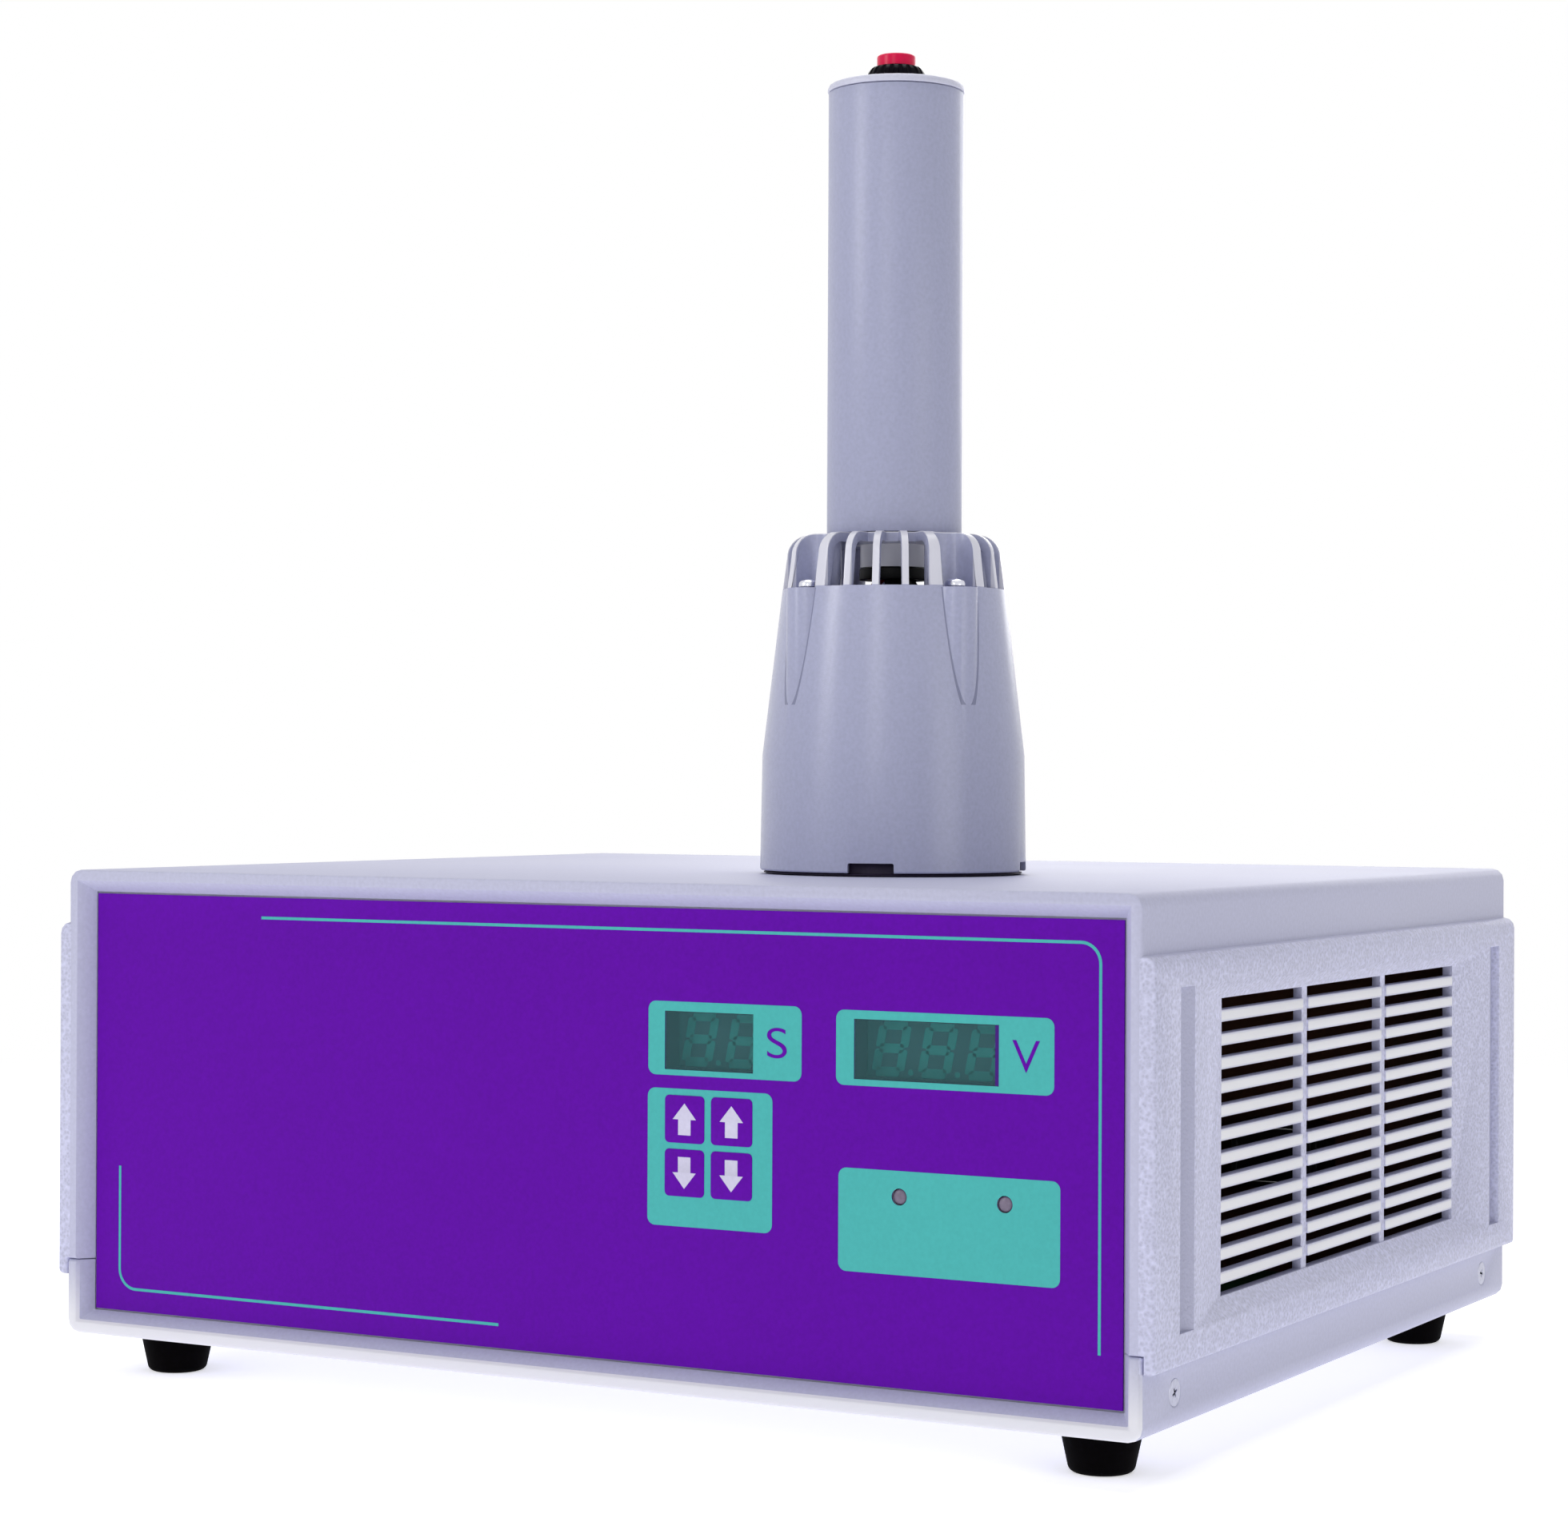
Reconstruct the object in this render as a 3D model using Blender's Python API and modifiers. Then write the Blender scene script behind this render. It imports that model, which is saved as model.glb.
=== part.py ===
"""Hand-held induction sealing machine: a power box with louvred sides, and its sealing head standing on it.

Metres, +Z up, the front towards -Y. The origin is under the middle of the box, at the feet's soles.
"""

from math import cos, pi, radians, sin, sqrt, tan

import bmesh
import bpy
from mathutils import Vector

MM = 0.001

# Fits and roundness
FIT = 0.3 * MM  # between two pieces that touch
ROUND_STEPS = 32  # sides of a large turned piece
MIDDLE_STEPS = 20  # sides of a middling one
SMALL_STEPS = 12  # sides of a small one
SCREW_STEPS = 10
ARC_STEPS = 3  # pieces of a moulded corner
OVER = 2 * MM  # how far a cutter runs past what it cuts

# Screw heads and their cross recesses, as shares of the head's radius
DOME_SHOULDER = 0.7
CROSS_REACH = 0.62
CROSS_ROOT = 0.16
CROSS_TIP = 0.12
CROSS_DEPTH = 0.3

# Power box
CASE_WIDTH = 320 * MM
CASE_DEPTH = 270 * MM
CASE_HEIGHT = 127 * MM  # both shells, without the feet
CASE_WALL = 2.9 * MM
CASE_CORNER = 3.5 * MM
RIM_ROUND = 0.8 * MM
SEAM_HEIGHT = 20 * MM  # of the joint between the shells, above the underside

# Raised louvred cheeks of the upper shell
CHEEK_PROUD = 3.3 * MM
CHEEK_BOTTOM = 15.8 * MM  # above the underside
CHEEK_DROP = 14.5 * MM  # below the roof
CHEEK_ROUND = 3 * MM
SKIRT_ROUND = 1.2 * MM

# Louvres and the sloped frame round them
LOUVRE_END = 48.1 * MM  # from the rim to the first slot
LOUVRE_EDGE = 12 * MM  # least height between the edge of the cheek and a slot
SLOT_COLUMNS = 3
SLOT_HEIGHT = 2.9 * MM
SLOT_PITCH = 5.78 * MM
MULLION = 3.6 * MM
MULLION_SINK = 0.5 * MM
SLOPE_SIDE = 23 * MM
SLOPE_TOP = 4.4 * MM
GROOVE_WIDTH = 9 * MM
RIDGE = 1 * MM  # between the sloped frame and a groove
GROOVE_DEPTH = 2.5 * MM

# Rims that hold the front and rear panels
PANEL_RECESS = 4.5 * MM
PANEL_LEDGE = 6 * MM  # from the outside of the box to the edge of the opening
PANEL_SEAT = 2 * MM  # how far the panel goes into its groove
PANEL_THICK = 2 * MM
PANEL_LIP = 0.5 * MM
RIM_RIB = 2 * MM

# Screws through the lower shell into lugs of the upper shell
CASE_SCREW_HEIGHT = 9 * MM
CASE_SCREW_INSET = 20.2 * MM
CASE_SCREW_HEAD = 3.35 * MM  # radius
SCREW_SHANK = 1.5 * MM  # radius
CASE_SCREW_LENGTH = 6 * MM
LUG_THICK = 4 * MM
LUG_WIDTH = 16 * MM
LUG_ROOT = 8 * MM

# Rubber feet
FOOT_HEIGHT = 12 * MM
FOOT_TOP = 10.2 * MM  # radius
FOOT_SOLE = 8.2 * MM  # radius
FOOT_ROUND = 2 * MM
FOOT_INSET_X = 20 * MM
FOOT_INSET_Y = 23 * MM
FOOT_STUD = 3 * MM  # radius
FOOT_BULB = 4.2 * MM  # radius

# Keypad film, its windows, keys and lamps: in from the right-hand side, up from the middle of the panel
FILM_THICK = 0.5 * MM
FILM_MARGIN = 0.5 * MM
WINDOW_RISE = 16.8 * MM  # of its lower edge
WINDOW_TALL = 14.6 * MM
TIME_WINDOW_INSET = 105.7 * MM  # of its right edge
TIME_WINDOW_WIDTH = 25.4 * MM
VOLT_WINDOW_INSET = 38.7 * MM
VOLT_WINDOW_WIDTH = 38.9 * MM
DISPLAY_RECESS = 6.7 * MM  # of a display's face behind the film's
KEY_COLUMNS = {"left": 125.2 * MM, "right": 111.7 * MM}
KEY_ROWS = {"up": 4.5 * MM, "down": -8.9 * MM}
LAMPS = {"heat_lamp": 65.1 * MM, "current_lamp": 37 * MM}
LAMP_RISE = -11 * MM
LAMP_RADIUS = 1.9 * MM
LAMP_ROUND = 0.8 * MM

# Control board behind the front panel, as large as the displays and lamps on it ask for
STUD_LENGTH = 12 * MM
STUD_RADIUS = 3 * MM
BOARD_THICK = 1.6 * MM
BOARD_SIDE_MARGIN = 14 * MM
BOARD_TOP_MARGIN = 5 * MM
BOARD_FOOT_MARGIN = 14 * MM
BOARD_STUD_INSET = 5 * MM
KEY_SWITCH_SIDE = 6 * MM
KEY_SWITCH_DEPTH = 4 * MM
KEY_PLUNGER = 1.6 * MM  # radius
KEY_TRAVEL = 0.25 * MM

# Rear panel fittings: positions across are shares of the box's width, heights are above the underside
FAN_X = -0.21875 * CASE_WIDTH
FAN_SIDE = 80 * MM
FAN_DEPTH = 25 * MM
FAN_CORNER = 4 * MM
FAN_BORE = 38 * MM  # radius
FAN_TIP_GAP = 1.5 * MM
FAN_HUB = 15 * MM  # radius
FAN_HUB_SINK = 2 * MM  # behind the frame's face
FAN_HUB_CHAMFER = 1 * MM
FAN_BLADES = 7
FAN_BLADE_THICK = 1.4 * MM
FAN_BLADE_CHORD = 20 * MM
FAN_BLADE_PITCH = radians(38)
FAN_SCREW_PITCH = 71.5 * MM
FAN_SCREW_HEAD = 3.2 * MM  # radius
FAN_SCREW_HEAD_TALL = 2 * MM
FAN_SCREW_LENGTH = 16 * MM
FAN_STRUTS = 4
FAN_STRUT = 5 * MM
FAN_STRUT_THICK = 3 * MM
FAN_HUB_PLATE = 4 * MM
GUARD_WIRE = 1.6 * MM
GUARD_RINGS = (13 * MM, 23 * MM, 33 * MM)  # radii
GUARD_LUG = 4.6 * MM  # radius
INLET_X = 0.3 * CASE_WIDTH
INLET_HEIGHT = 40 * MM
INLET_WIDTH = 24 * MM  # of the socket's mouth
INLET_TALL = 16.4 * MM
INLET_WALL = 1.6 * MM
INLET_FLANGE = 4 * MM
INLET_FLANGE_THICK = 2.4 * MM
INLET_DEPTH = 17 * MM
INLET_CORNER = 3 * MM
INLET_MOUTH_CORNER = 2 * MM
CONTACT_WIDTH = 2 * MM
CONTACT_TALL = 4 * MM
CONTACT_SPACING = 7 * MM
CONTACT_RISE = 2 * MM
CONTACT_LENGTH = 11 * MM
CONTACT_PLATE = 3 * MM
SWITCH_X = 0.175 * CASE_WIDTH
SWITCH_HEIGHT = 40 * MM
ROCKER_HALF = 8.4 * MM
ROCKER_WIDTH = 10.6 * MM
ROCKER_RISE = 4 * MM  # of its middle above the pivot
ROCKER_PIN = 1.2 * MM  # radius
ROCKER_PIVOT_DEPTH = 2 * MM
ROCKER_TILT = radians(9)  # each way from level
ROCKER_DEPTH = 4.5 * MM
ROCKER_FOOT = 3 * MM  # half its length at the back
ROCKER_DRAFT = 0.4 * MM
SWITCH_WALL = 1.2 * MM
SWITCH_BEZEL = 1.6 * MM
SWITCH_BEZEL_THICK = 1.6 * MM
SWITCH_BEZEL_CORNER = 1.2 * MM
SWITCH_DEPTH = 15 * MM
PANEL_BUSH_X = 0.0625 * CASE_WIDTH
PANEL_BUSH_HEIGHT = 40 * MM

# Rubber cable bushes
CABLE_BORE = 3.6 * MM  # radius
BUSH_NECK = 5.6 * MM  # radius
BUSH_FLANGE = 7.6 * MM  # radius
BUSH_FLANGE_THICK = 1.6 * MM
BUSH_LEAD_IN = 1 * MM

# Electronics on the floor of the box
STANDOFF_HEIGHT = 6 * MM
STANDOFF_RADIUS = 4 * MM
MAIN_BOARD_WIDTH = 230 * MM
MAIN_BOARD_FRONT = 40 * MM  # from the front rim
MAIN_BOARD_REAR = 60 * MM  # from the rear rim
STANDOFF_INSET = 8 * MM
SINK_WIDTH = 90 * MM
SINK_DEPTH = 110 * MM
SINK_BASE = 5 * MM
SINK_TALL = 38 * MM
SINK_FINS = 10
SINK_FIN = 1.8 * MM
SINK_X = 55 * MM
CORE_WIDTH = 62 * MM
CORE_DEPTH = 30 * MM
CORE_TALL = 52 * MM
CORE_LEG = 10 * MM
CORE_WINDOW = 11 * MM
CORE_X = -62 * MM
WINDING_PROUD = 9 * MM
WINDING_CORNER = 6 * MM

# Sealing head: place on the box and heights above its own sole
HEAD_X = 39 * MM
HEAD_FROM_FRONT = 108 * MM
HEAD_TURN = radians(18)
BELL_FOOT_Z = 0.7 * MM
BELL_FOOT = 36.4 * MM  # radius
BELL_CREASE_Z = 32 * MM
BELL_CREASE = 35.9 * MM
LEDGE_Z = 77 * MM
LEDGE = 30.6 * MM
CAGE_TOP_Z = 92.2 * MM
CAGE = 29.4 * MM
CAGE_ROUND = 6 * MM
BELL_WALL = 2.4 * MM
CAGE_WALL = 2.6 * MM

# Vents, screw pockets and screw bosses of the bell
VENT_GROUPS = 4
VENTS_PER_GROUP = 4
RIB_PITCH = radians(15.2)
RIB = 1.8 * MM
END_RIB = 2.4 * MM
VENT_INNER = 19 * MM  # radius
VENT_SILL_Z = 77.3 * MM
POCKET = 5.5 * MM  # radius
POCKET_CIRCLE = 26.7 * MM  # radius
POCKET_WALL = 2 * MM
BOLT_CIRCLE = 28.2 * MM  # radius
BOSS = 5.8 * MM  # radius
BOSS_CIRCLE = 28.5 * MM  # radius
BOSS_END_Z = 45 * MM
BOSS_ROOF = 1 * MM  # between the bell's hollow and its ledge
NOTCH_WIDTH = 12.4 * MM
NOTCH_HEIGHT = 2.6 * MM

# Coil and its plate
PLATE_FLANGE = 35.4 * MM  # radius
PLATE_FLANGE_THICK = 0.4 * MM
PLATE_THICK = 6 * MM
POST = 3.2 * MM  # radius
COIL_OUTER = 24 * MM  # radius
COIL_INNER = 8 * MM  # radius
COIL_THICK = 8 * MM
COIL_CHAMFER = 2 * MM
FERRITE_THICK = 5 * MM
BELL_SCREW_HEAD = 2.8 * MM  # radius
BELL_SCREW_HEAD_TALL = 2.2 * MM
BELL_SCREW_LENGTH = 42 * MM

# Neck that joins the handle to the bell
NECK = 9.3 * MM  # radius
NECK_END_Z = 83.5 * MM
NECK_BORE = 6.3 * MM  # radius
NUT = 9.7 * MM  # radius
NUT_TALL = 3.1 * MM
BUSH_HEAD = 10 * MM  # radius
BUSH_HEAD_THICK = 2.5 * MM
LEAD_BORE = 4.8 * MM  # radius
LEAD = 1.3 * MM  # radius
LEAD_SPREAD = 9 * MM
LEAD_BEND = 9 * MM  # height in which the leads spread

# Handle and its push button
TUBE = 18.5 * MM  # radius
TUBE_WALL = 2 * MM
TUBE_FLOOR = 3 * MM
TUBE_LENGTH = 121 * MM
CABLE_HEIGHT = 24 * MM  # of the cable's way in, above the tube's foot
CAP = 18.8 * MM  # radius
CAP_THICK = 2.1 * MM
CAP_ROUND = 1.2 * MM
CAP_SPIGOT = 8 * MM
SPIGOT_WALL = 2 * MM
BEZEL = 8.2 * MM  # radius
BEZEL_TALL = 5 * MM
BEZEL_FOOT = 0.8 * MM
BEZEL_LIP = 0.2 * MM
BUTTON = 5.3 * MM  # radius
BUTTON_PROUD = 2.9 * MM
BUTTON_ROUND = 0.5 * MM
BUTTON_TRAVEL = 2.5 * MM
BUTTON_STEM = 3 * MM  # radius
BUTTON_STEM_LENGTH = 8 * MM
BUTTON_SWITCH_WALL = 2.4 * MM
BUTTON_SWITCH_LENGTH = 22 * MM

# Levels that follow from the sizes above
CASE_BOTTOM = FOOT_HEIGHT
CASE_TOP = CASE_BOTTOM + CASE_HEIGHT
SEAM = CASE_BOTTOM + SEAM_HEIGHT
FRONT = -CASE_DEPTH / 2
REAR = CASE_DEPTH / 2
SIDE = CASE_WIDTH / 2
INNER_SIDE = SIDE - CASE_WALL
FLOOR = CASE_BOTTOM + CASE_WALL
CHEEK = SIDE + CHEEK_PROUD
PANEL_FACE = PANEL_RECESS + PANEL_LIP + FIT  # the panels' outer faces, from the rims
PANEL_BACK = PANEL_FACE + PANEL_THICK
RIM_DEPTH = PANEL_BACK + FIT + RIM_RIB
CHEEK_LOW = CASE_BOTTOM + CHEEK_BOTTOM
CHEEK_HIGH = CASE_TOP - CHEEK_DROP
SLOT_ROWS = 1 + int((CHEEK_HIGH - CHEEK_LOW - 2 * LOUVRE_EDGE - SLOT_HEIGHT) / SLOT_PITCH)
PANEL_MIDDLE = (CASE_BOTTOM + CASE_TOP) / 2
FILM_FACE = FRONT + PANEL_FACE - FIT - FILM_THICK
BOARD_FACE = FRONT + PANEL_BACK + STUD_LENGTH + FIT
WINDOW_LOW = PANEL_MIDDLE + WINDOW_RISE
WINDOW_HIGH = WINDOW_LOW + WINDOW_TALL


def runs_along(edge, axis):
    """Whether an edge lies along a world axis, 0 to 2."""
    reach = edge.verts[0].co - edge.verts[1].co
    return abs(reach[axis]) > 0.999 * reach.length


def made(name, shape):
    """A mesh from a bmesh, which is freed."""
    mesh = bpy.data.meshes.new(name)
    shape.to_mesh(mesh)
    shape.free()
    return mesh


def place(name, mesh, skin=None, parent=None, at=(0, 0, 0), turn=(0, 0, 0)):
    """An object: a part where it has a material, and a cutter or an addition where it has none."""
    thing = bpy.data.objects.new(name, mesh)
    thing.parent = parent
    thing.location = at
    thing.rotation_euler = turn
    if skin:
        PARTS.objects.link(thing)
        mesh.materials.append(skin)
    else:
        CUTTERS.objects.link(thing)
        thing.hide_render = True
        thing.display_type = "WIRE"
    return thing


def box(name, low, high, skin=None, parent=None, along=None, radius=0.0):
    """A box between two corners, with its edges along one axis rounded."""
    low = Vector(low)
    high = Vector(high)
    shape = bmesh.new()
    bmesh.ops.create_cube(shape, size=1.0)
    bmesh.ops.scale(shape, vec=high - low, verts=shape.verts)
    if radius:
        edges = [edge for edge in shape.edges if runs_along(edge, along)]
        bmesh.ops.bevel(shape, geom=edges, offset=radius, segments=ARC_STEPS, profile=0.5, affect="EDGES")
    return place(name, made(name, shape), skin, parent, (low + high) / 2)


def tapered(name, low, high, axis, spread, parent=None):
    """A cutter box whose far end, towards + on the axis, is wider by spread on every side."""
    low = Vector(low)
    high = Vector(high)
    size = high - low
    shape = bmesh.new()
    bmesh.ops.create_cube(shape, size=1.0)
    bmesh.ops.scale(shape, vec=size, verts=shape.verts)
    far = [vert for vert in shape.verts if vert.co[axis] > 0]
    grow = Vector([1 if i == axis else (size[i] + 2 * spread[i]) / size[i] for i in range(3)])
    bmesh.ops.scale(shape, vec=grow, verts=far)
    return place(name, made(name, shape), parent=parent, at=(low + high) / 2)


def turned(
    name, profile, skin=None, parent=None, at=(0, 0, 0), turn=(0, 0, 0), steps=ROUND_STEPS, ring=False
):
    """A profile of (radius, height) points turned about local Z; a ring's profile closes on itself."""
    mesh = bpy.data.meshes.new(name)
    count = len(profile)
    edges = [(i, i + 1) for i in range(count - 1)]
    if ring:
        edges.append((count - 1, 0))
    mesh.from_pydata([(radius, 0, height) for radius, height in profile], edges, [])
    thing = place(name, mesh, skin, parent, at, turn)
    screw = thing.modifiers.new("turn", "SCREW")
    screw.steps = steps
    screw.render_steps = steps
    screw.use_merge_vertices = True
    screw.merge_threshold = 0.00001
    return thing


def extruded(name, outline, thick, skin=None, parent=None, at=(0, 0, 0), turn=(0, 0, 0), rim=0.0):
    """A flat outline in local XY, thick along local Z, with the edges of both faces rounded by rim."""
    curve = bpy.data.curves.new(name, "CURVE")
    curve.dimensions = "2D"
    curve.fill_mode = "BOTH"
    curve.extrude = thick / 2
    spline = curve.splines.new("POLY")
    spline.points.add(len(outline) - 1)
    for point, (x, y) in zip(spline.points, outline):
        point.co = (x, y, 0, 1)
    spline.use_cyclic_u = True
    guide = place(name + "_outline", curve)
    graph = bpy.context.evaluated_depsgraph_get()
    filled = bpy.data.meshes.new_from_object(guide.evaluated_get(graph))
    bpy.data.objects.remove(guide)
    shape = bmesh.new()
    shape.from_mesh(filled)
    bpy.data.meshes.remove(filled)
    bmesh.ops.remove_doubles(shape, verts=shape.verts, dist=0.000001)
    bmesh.ops.dissolve_limit(shape, angle_limit=0.001, verts=shape.verts, edges=shape.edges)
    if rim:
        edges = [edge for edge in shape.edges if not runs_along(edge, 2)]
        bmesh.ops.bevel(shape, geom=edges, offset=rim, segments=2, profile=0.5, affect="EDGES")
    bmesh.ops.recalc_face_normals(shape, faces=shape.faces)
    return place(name, made(name, shape), skin, parent, at, turn)


def arc(centre, radius, start, end, steps=ARC_STEPS):
    """Points of an arc about a centre, from one angle to another, in degrees."""
    angles = [radians(start + (end - start) * i / steps) for i in range(steps + 1)]
    return [(centre[0] + radius * cos(a), centre[1] + radius * sin(a)) for a in angles]


def rounded(width, tall, radius):
    """The outline of a rectangle with round corners, about the origin."""
    x = width / 2 - radius
    y = tall / 2 - radius
    corners = ((x, y, 0), (-x, y, 90), (-x, -y, 180), (x, -y, 270))
    return [point for cx, cy, a in corners for point in arc((cx, cy), radius, a, a + 90)]


def polar(radius, angle):
    return (radius * cos(angle), radius * sin(angle))


def cut(part, *tools):
    for tool in tools:
        step = part.modifiers.new("cut " + tool.name, "BOOLEAN")
        step.operation = "DIFFERENCE"
        step.object = tool


def fuse(part, *tools):
    for tool in tools:
        step = part.modifiers.new("fuse " + tool.name, "BOOLEAN")
        step.operation = "UNION"
        step.object = tool


def repeat(thing, count, x=0.0, y=0.0, z=0.0):
    step = thing.modifiers.new("row", "ARRAY")
    step.count = count
    step.use_relative_offset = False
    step.use_constant_offset = True
    step.constant_offset_displace = (x, y, z)


def finish(name, colour, roughness, metallic=0.0):
    """A plain material from an sRGB colour of 0 to 255."""
    material = bpy.data.materials.new(name)
    material.use_nodes = True
    shader = material.node_tree.nodes["Principled BSDF"]
    shader.inputs["Base Color"].default_value = [(value / 255) ** 2.2 for value in colour] + [1]
    shader.inputs["Roughness"].default_value = roughness
    shader.inputs["Metallic"].default_value = metallic
    return material


def empty(name, at, turn=(0, 0, 0)):
    thing = bpy.data.objects.new(name, None)
    thing.location = at
    thing.rotation_euler = turn
    PARTS.objects.link(thing)
    return thing


def group(name):
    collection = bpy.data.collections.new(name)
    bpy.context.scene.collection.children.link(collection)
    return collection


def screw(name, head, length, parent=None, at=(0, 0, 0), turn=(0, 0, 0), sunk=False, tall=0.0):
    """A cross-recessed screw whose local Z points out of its head; a sunk head is flush with its origin."""
    shank = SCREW_SHANK
    if sunk:
        profile = [(0, 0), (head, 0), (shank, shank - head), (shank, -length), (0, -length)]
    else:
        shoulder = DOME_SHOULDER * head
        profile = [(0, tall), (shoulder, 0.8 * tall), (head, 0), (shank, 0), (shank, -length), (0, -length)]
    thing = turned(name, profile, STEEL, parent, at, turn, SCREW_STEPS)
    reach = CROSS_REACH * head
    root = CROSS_ROOT * head
    tip = CROSS_TIP * head
    cross = [(root, root), (tip, reach), (-tip, reach), (-root, root), (-reach, tip), (-reach, -tip)]
    cross += [(-x, -y) for x, y in cross]
    recess = extruded(name + "_recess", cross, 2 * CROSS_DEPTH * head, parent=thing, at=(0, 0, tall))
    cut(thing, recess)
    return thing


for leftover in list(bpy.data.objects):
    bpy.data.objects.remove(leftover, do_unlink=True)
PARTS = group("induction_sealer")
CUTTERS = group("cutters")

SHELL = finish("shell_plastic", (196, 196, 218), 0.5)
HEAD_PLASTIC = finish("head_plastic", (172, 173, 200), 0.45)
PANEL_PLASTIC = finish("panel_plastic", (188, 188, 206), 0.5)
FILM = finish("keypad_film", (98, 26, 165), 0.4)
DISPLAY = finish("display_face", (56, 107, 107), 0.25)
LAMP = finish("lamp_plastic", (120, 122, 130), 0.3)
BOARD = finish("circuit_board", (28, 84, 52), 0.5)
BLACK = finish("black_plastic", (22, 22, 24), 0.4)
RUBBER = finish("black_rubber", (20, 20, 21), 0.8)
STEEL = finish("bright_steel", (205, 206, 212), 0.25, 1.0)
ALUMINIUM = finish("aluminium", (190, 192, 196), 0.4, 1.0)
FERRITE = finish("ferrite", (52, 50, 52), 0.7)
COPPER = finish("copper_winding", (170, 92, 48), 0.35, 1.0)
PHENOLIC = finish("coil_plate_resin", (38, 30, 34), 0.5)
RED_PLASTIC = finish("red_plastic", (222, 0, 34), 0.3)
RED_LEAD = finish("red_lead", (190, 16, 30), 0.45)


def upper_outline():
    """The upper shell's section across the box: roof, side walls, raised cheeks and their hanging skirts."""
    skirt = SIDE + FIT
    half = [(skirt, SEAM + FIT / 2), (skirt, CHEEK_LOW)]
    half += arc((CHEEK - SKIRT_ROUND, CHEEK_LOW + SKIRT_ROUND), SKIRT_ROUND, 270, 360, 2)
    half += arc((CHEEK - CHEEK_ROUND, CHEEK_HIGH - CHEEK_ROUND), CHEEK_ROUND, 0, 90)
    half += [(SIDE, CHEEK_HIGH)]
    half += arc((SIDE - CASE_CORNER, CASE_TOP - CASE_CORNER), CASE_CORNER, 0, 90)
    return half + [(-x, z) for x, z in reversed(half)]


def lower_outline():
    """The lower shell's section: floor and two low walls."""
    half = arc((SIDE - CASE_CORNER, CASE_BOTTOM + CASE_CORNER), CASE_CORNER, 270, 360)
    half += [(SIDE, SEAM - FIT / 2)]
    return half + [(-x, z) for x, z in reversed(half)]


def opening_cutter(name, end):
    """The sloped mouth of a rim; end is -1 at the front and 1 at the rear."""
    slope = (PANEL_LEDGE - CASE_WALL) / PANEL_RECESS
    spread = slope * (PANEL_RECESS + OVER)
    low = (PANEL_LEDGE - SIDE, 0, CASE_BOTTOM + PANEL_LEDGE)
    high = (SIDE - PANEL_LEDGE, PANEL_RECESS + OVER, CASE_TOP - PANEL_LEDGE)
    mouth = tapered(name, low, high, 1, (spread, 0, spread))
    mouth.location.y = end * (CASE_DEPTH / 2 - PANEL_RECESS + (PANEL_RECESS + OVER) / 2)
    mouth.rotation_euler.z = 0 if end > 0 else pi
    return mouth


def rim_cutters(name, end):
    """What hollows one end of the box: its mouth, the way in behind it and the groove for the panel."""
    face = end * CASE_DEPTH / 2
    levels = sorted((face - end * (PANEL_RECESS - OVER / 4), face - end * (RIM_DEPTH + OVER)))
    way_low = (PANEL_LEDGE - SIDE, levels[0], CASE_BOTTOM + PANEL_LEDGE)
    way_high = (SIDE - PANEL_LEDGE, levels[1], CASE_TOP - PANEL_LEDGE)
    way = box(name + "_way", way_low, way_high)
    edge = PANEL_LEDGE - PANEL_SEAT - FIT
    levels = sorted((face - end * (PANEL_FACE - FIT), face - end * (PANEL_BACK + FIT)))
    groove_low = (edge - SIDE, levels[0], CASE_BOTTOM + edge)
    groove_high = (SIDE - edge, levels[1], CASE_TOP - edge)
    groove = box(name + "_groove", groove_low, groove_high)
    return opening_cutter(name + "_mouth", end), way, groove


def lug(name, side, y):
    """A tab of the upper shell that hangs inside the lower shell's wall and takes a screw."""
    outer = INNER_SIDE - FIT
    inside = INNER_SIDE + CASE_WALL / 2
    root = SEAM + CASE_WALL / 2
    outline = [(outer - LUG_THICK, FLOOR + FIT), (outer, FLOOR + FIT), (outer, root), (inside, root)]
    outline += [(inside, root + LUG_ROOT), (outer - LUG_THICK, root + LUG_ROOT)]
    outline = [(side * x, z) for x, z in outline]
    return extruded(name, outline, LUG_WIDTH, at=(0, y, 0), turn=(pi / 2, 0, 0))


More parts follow.
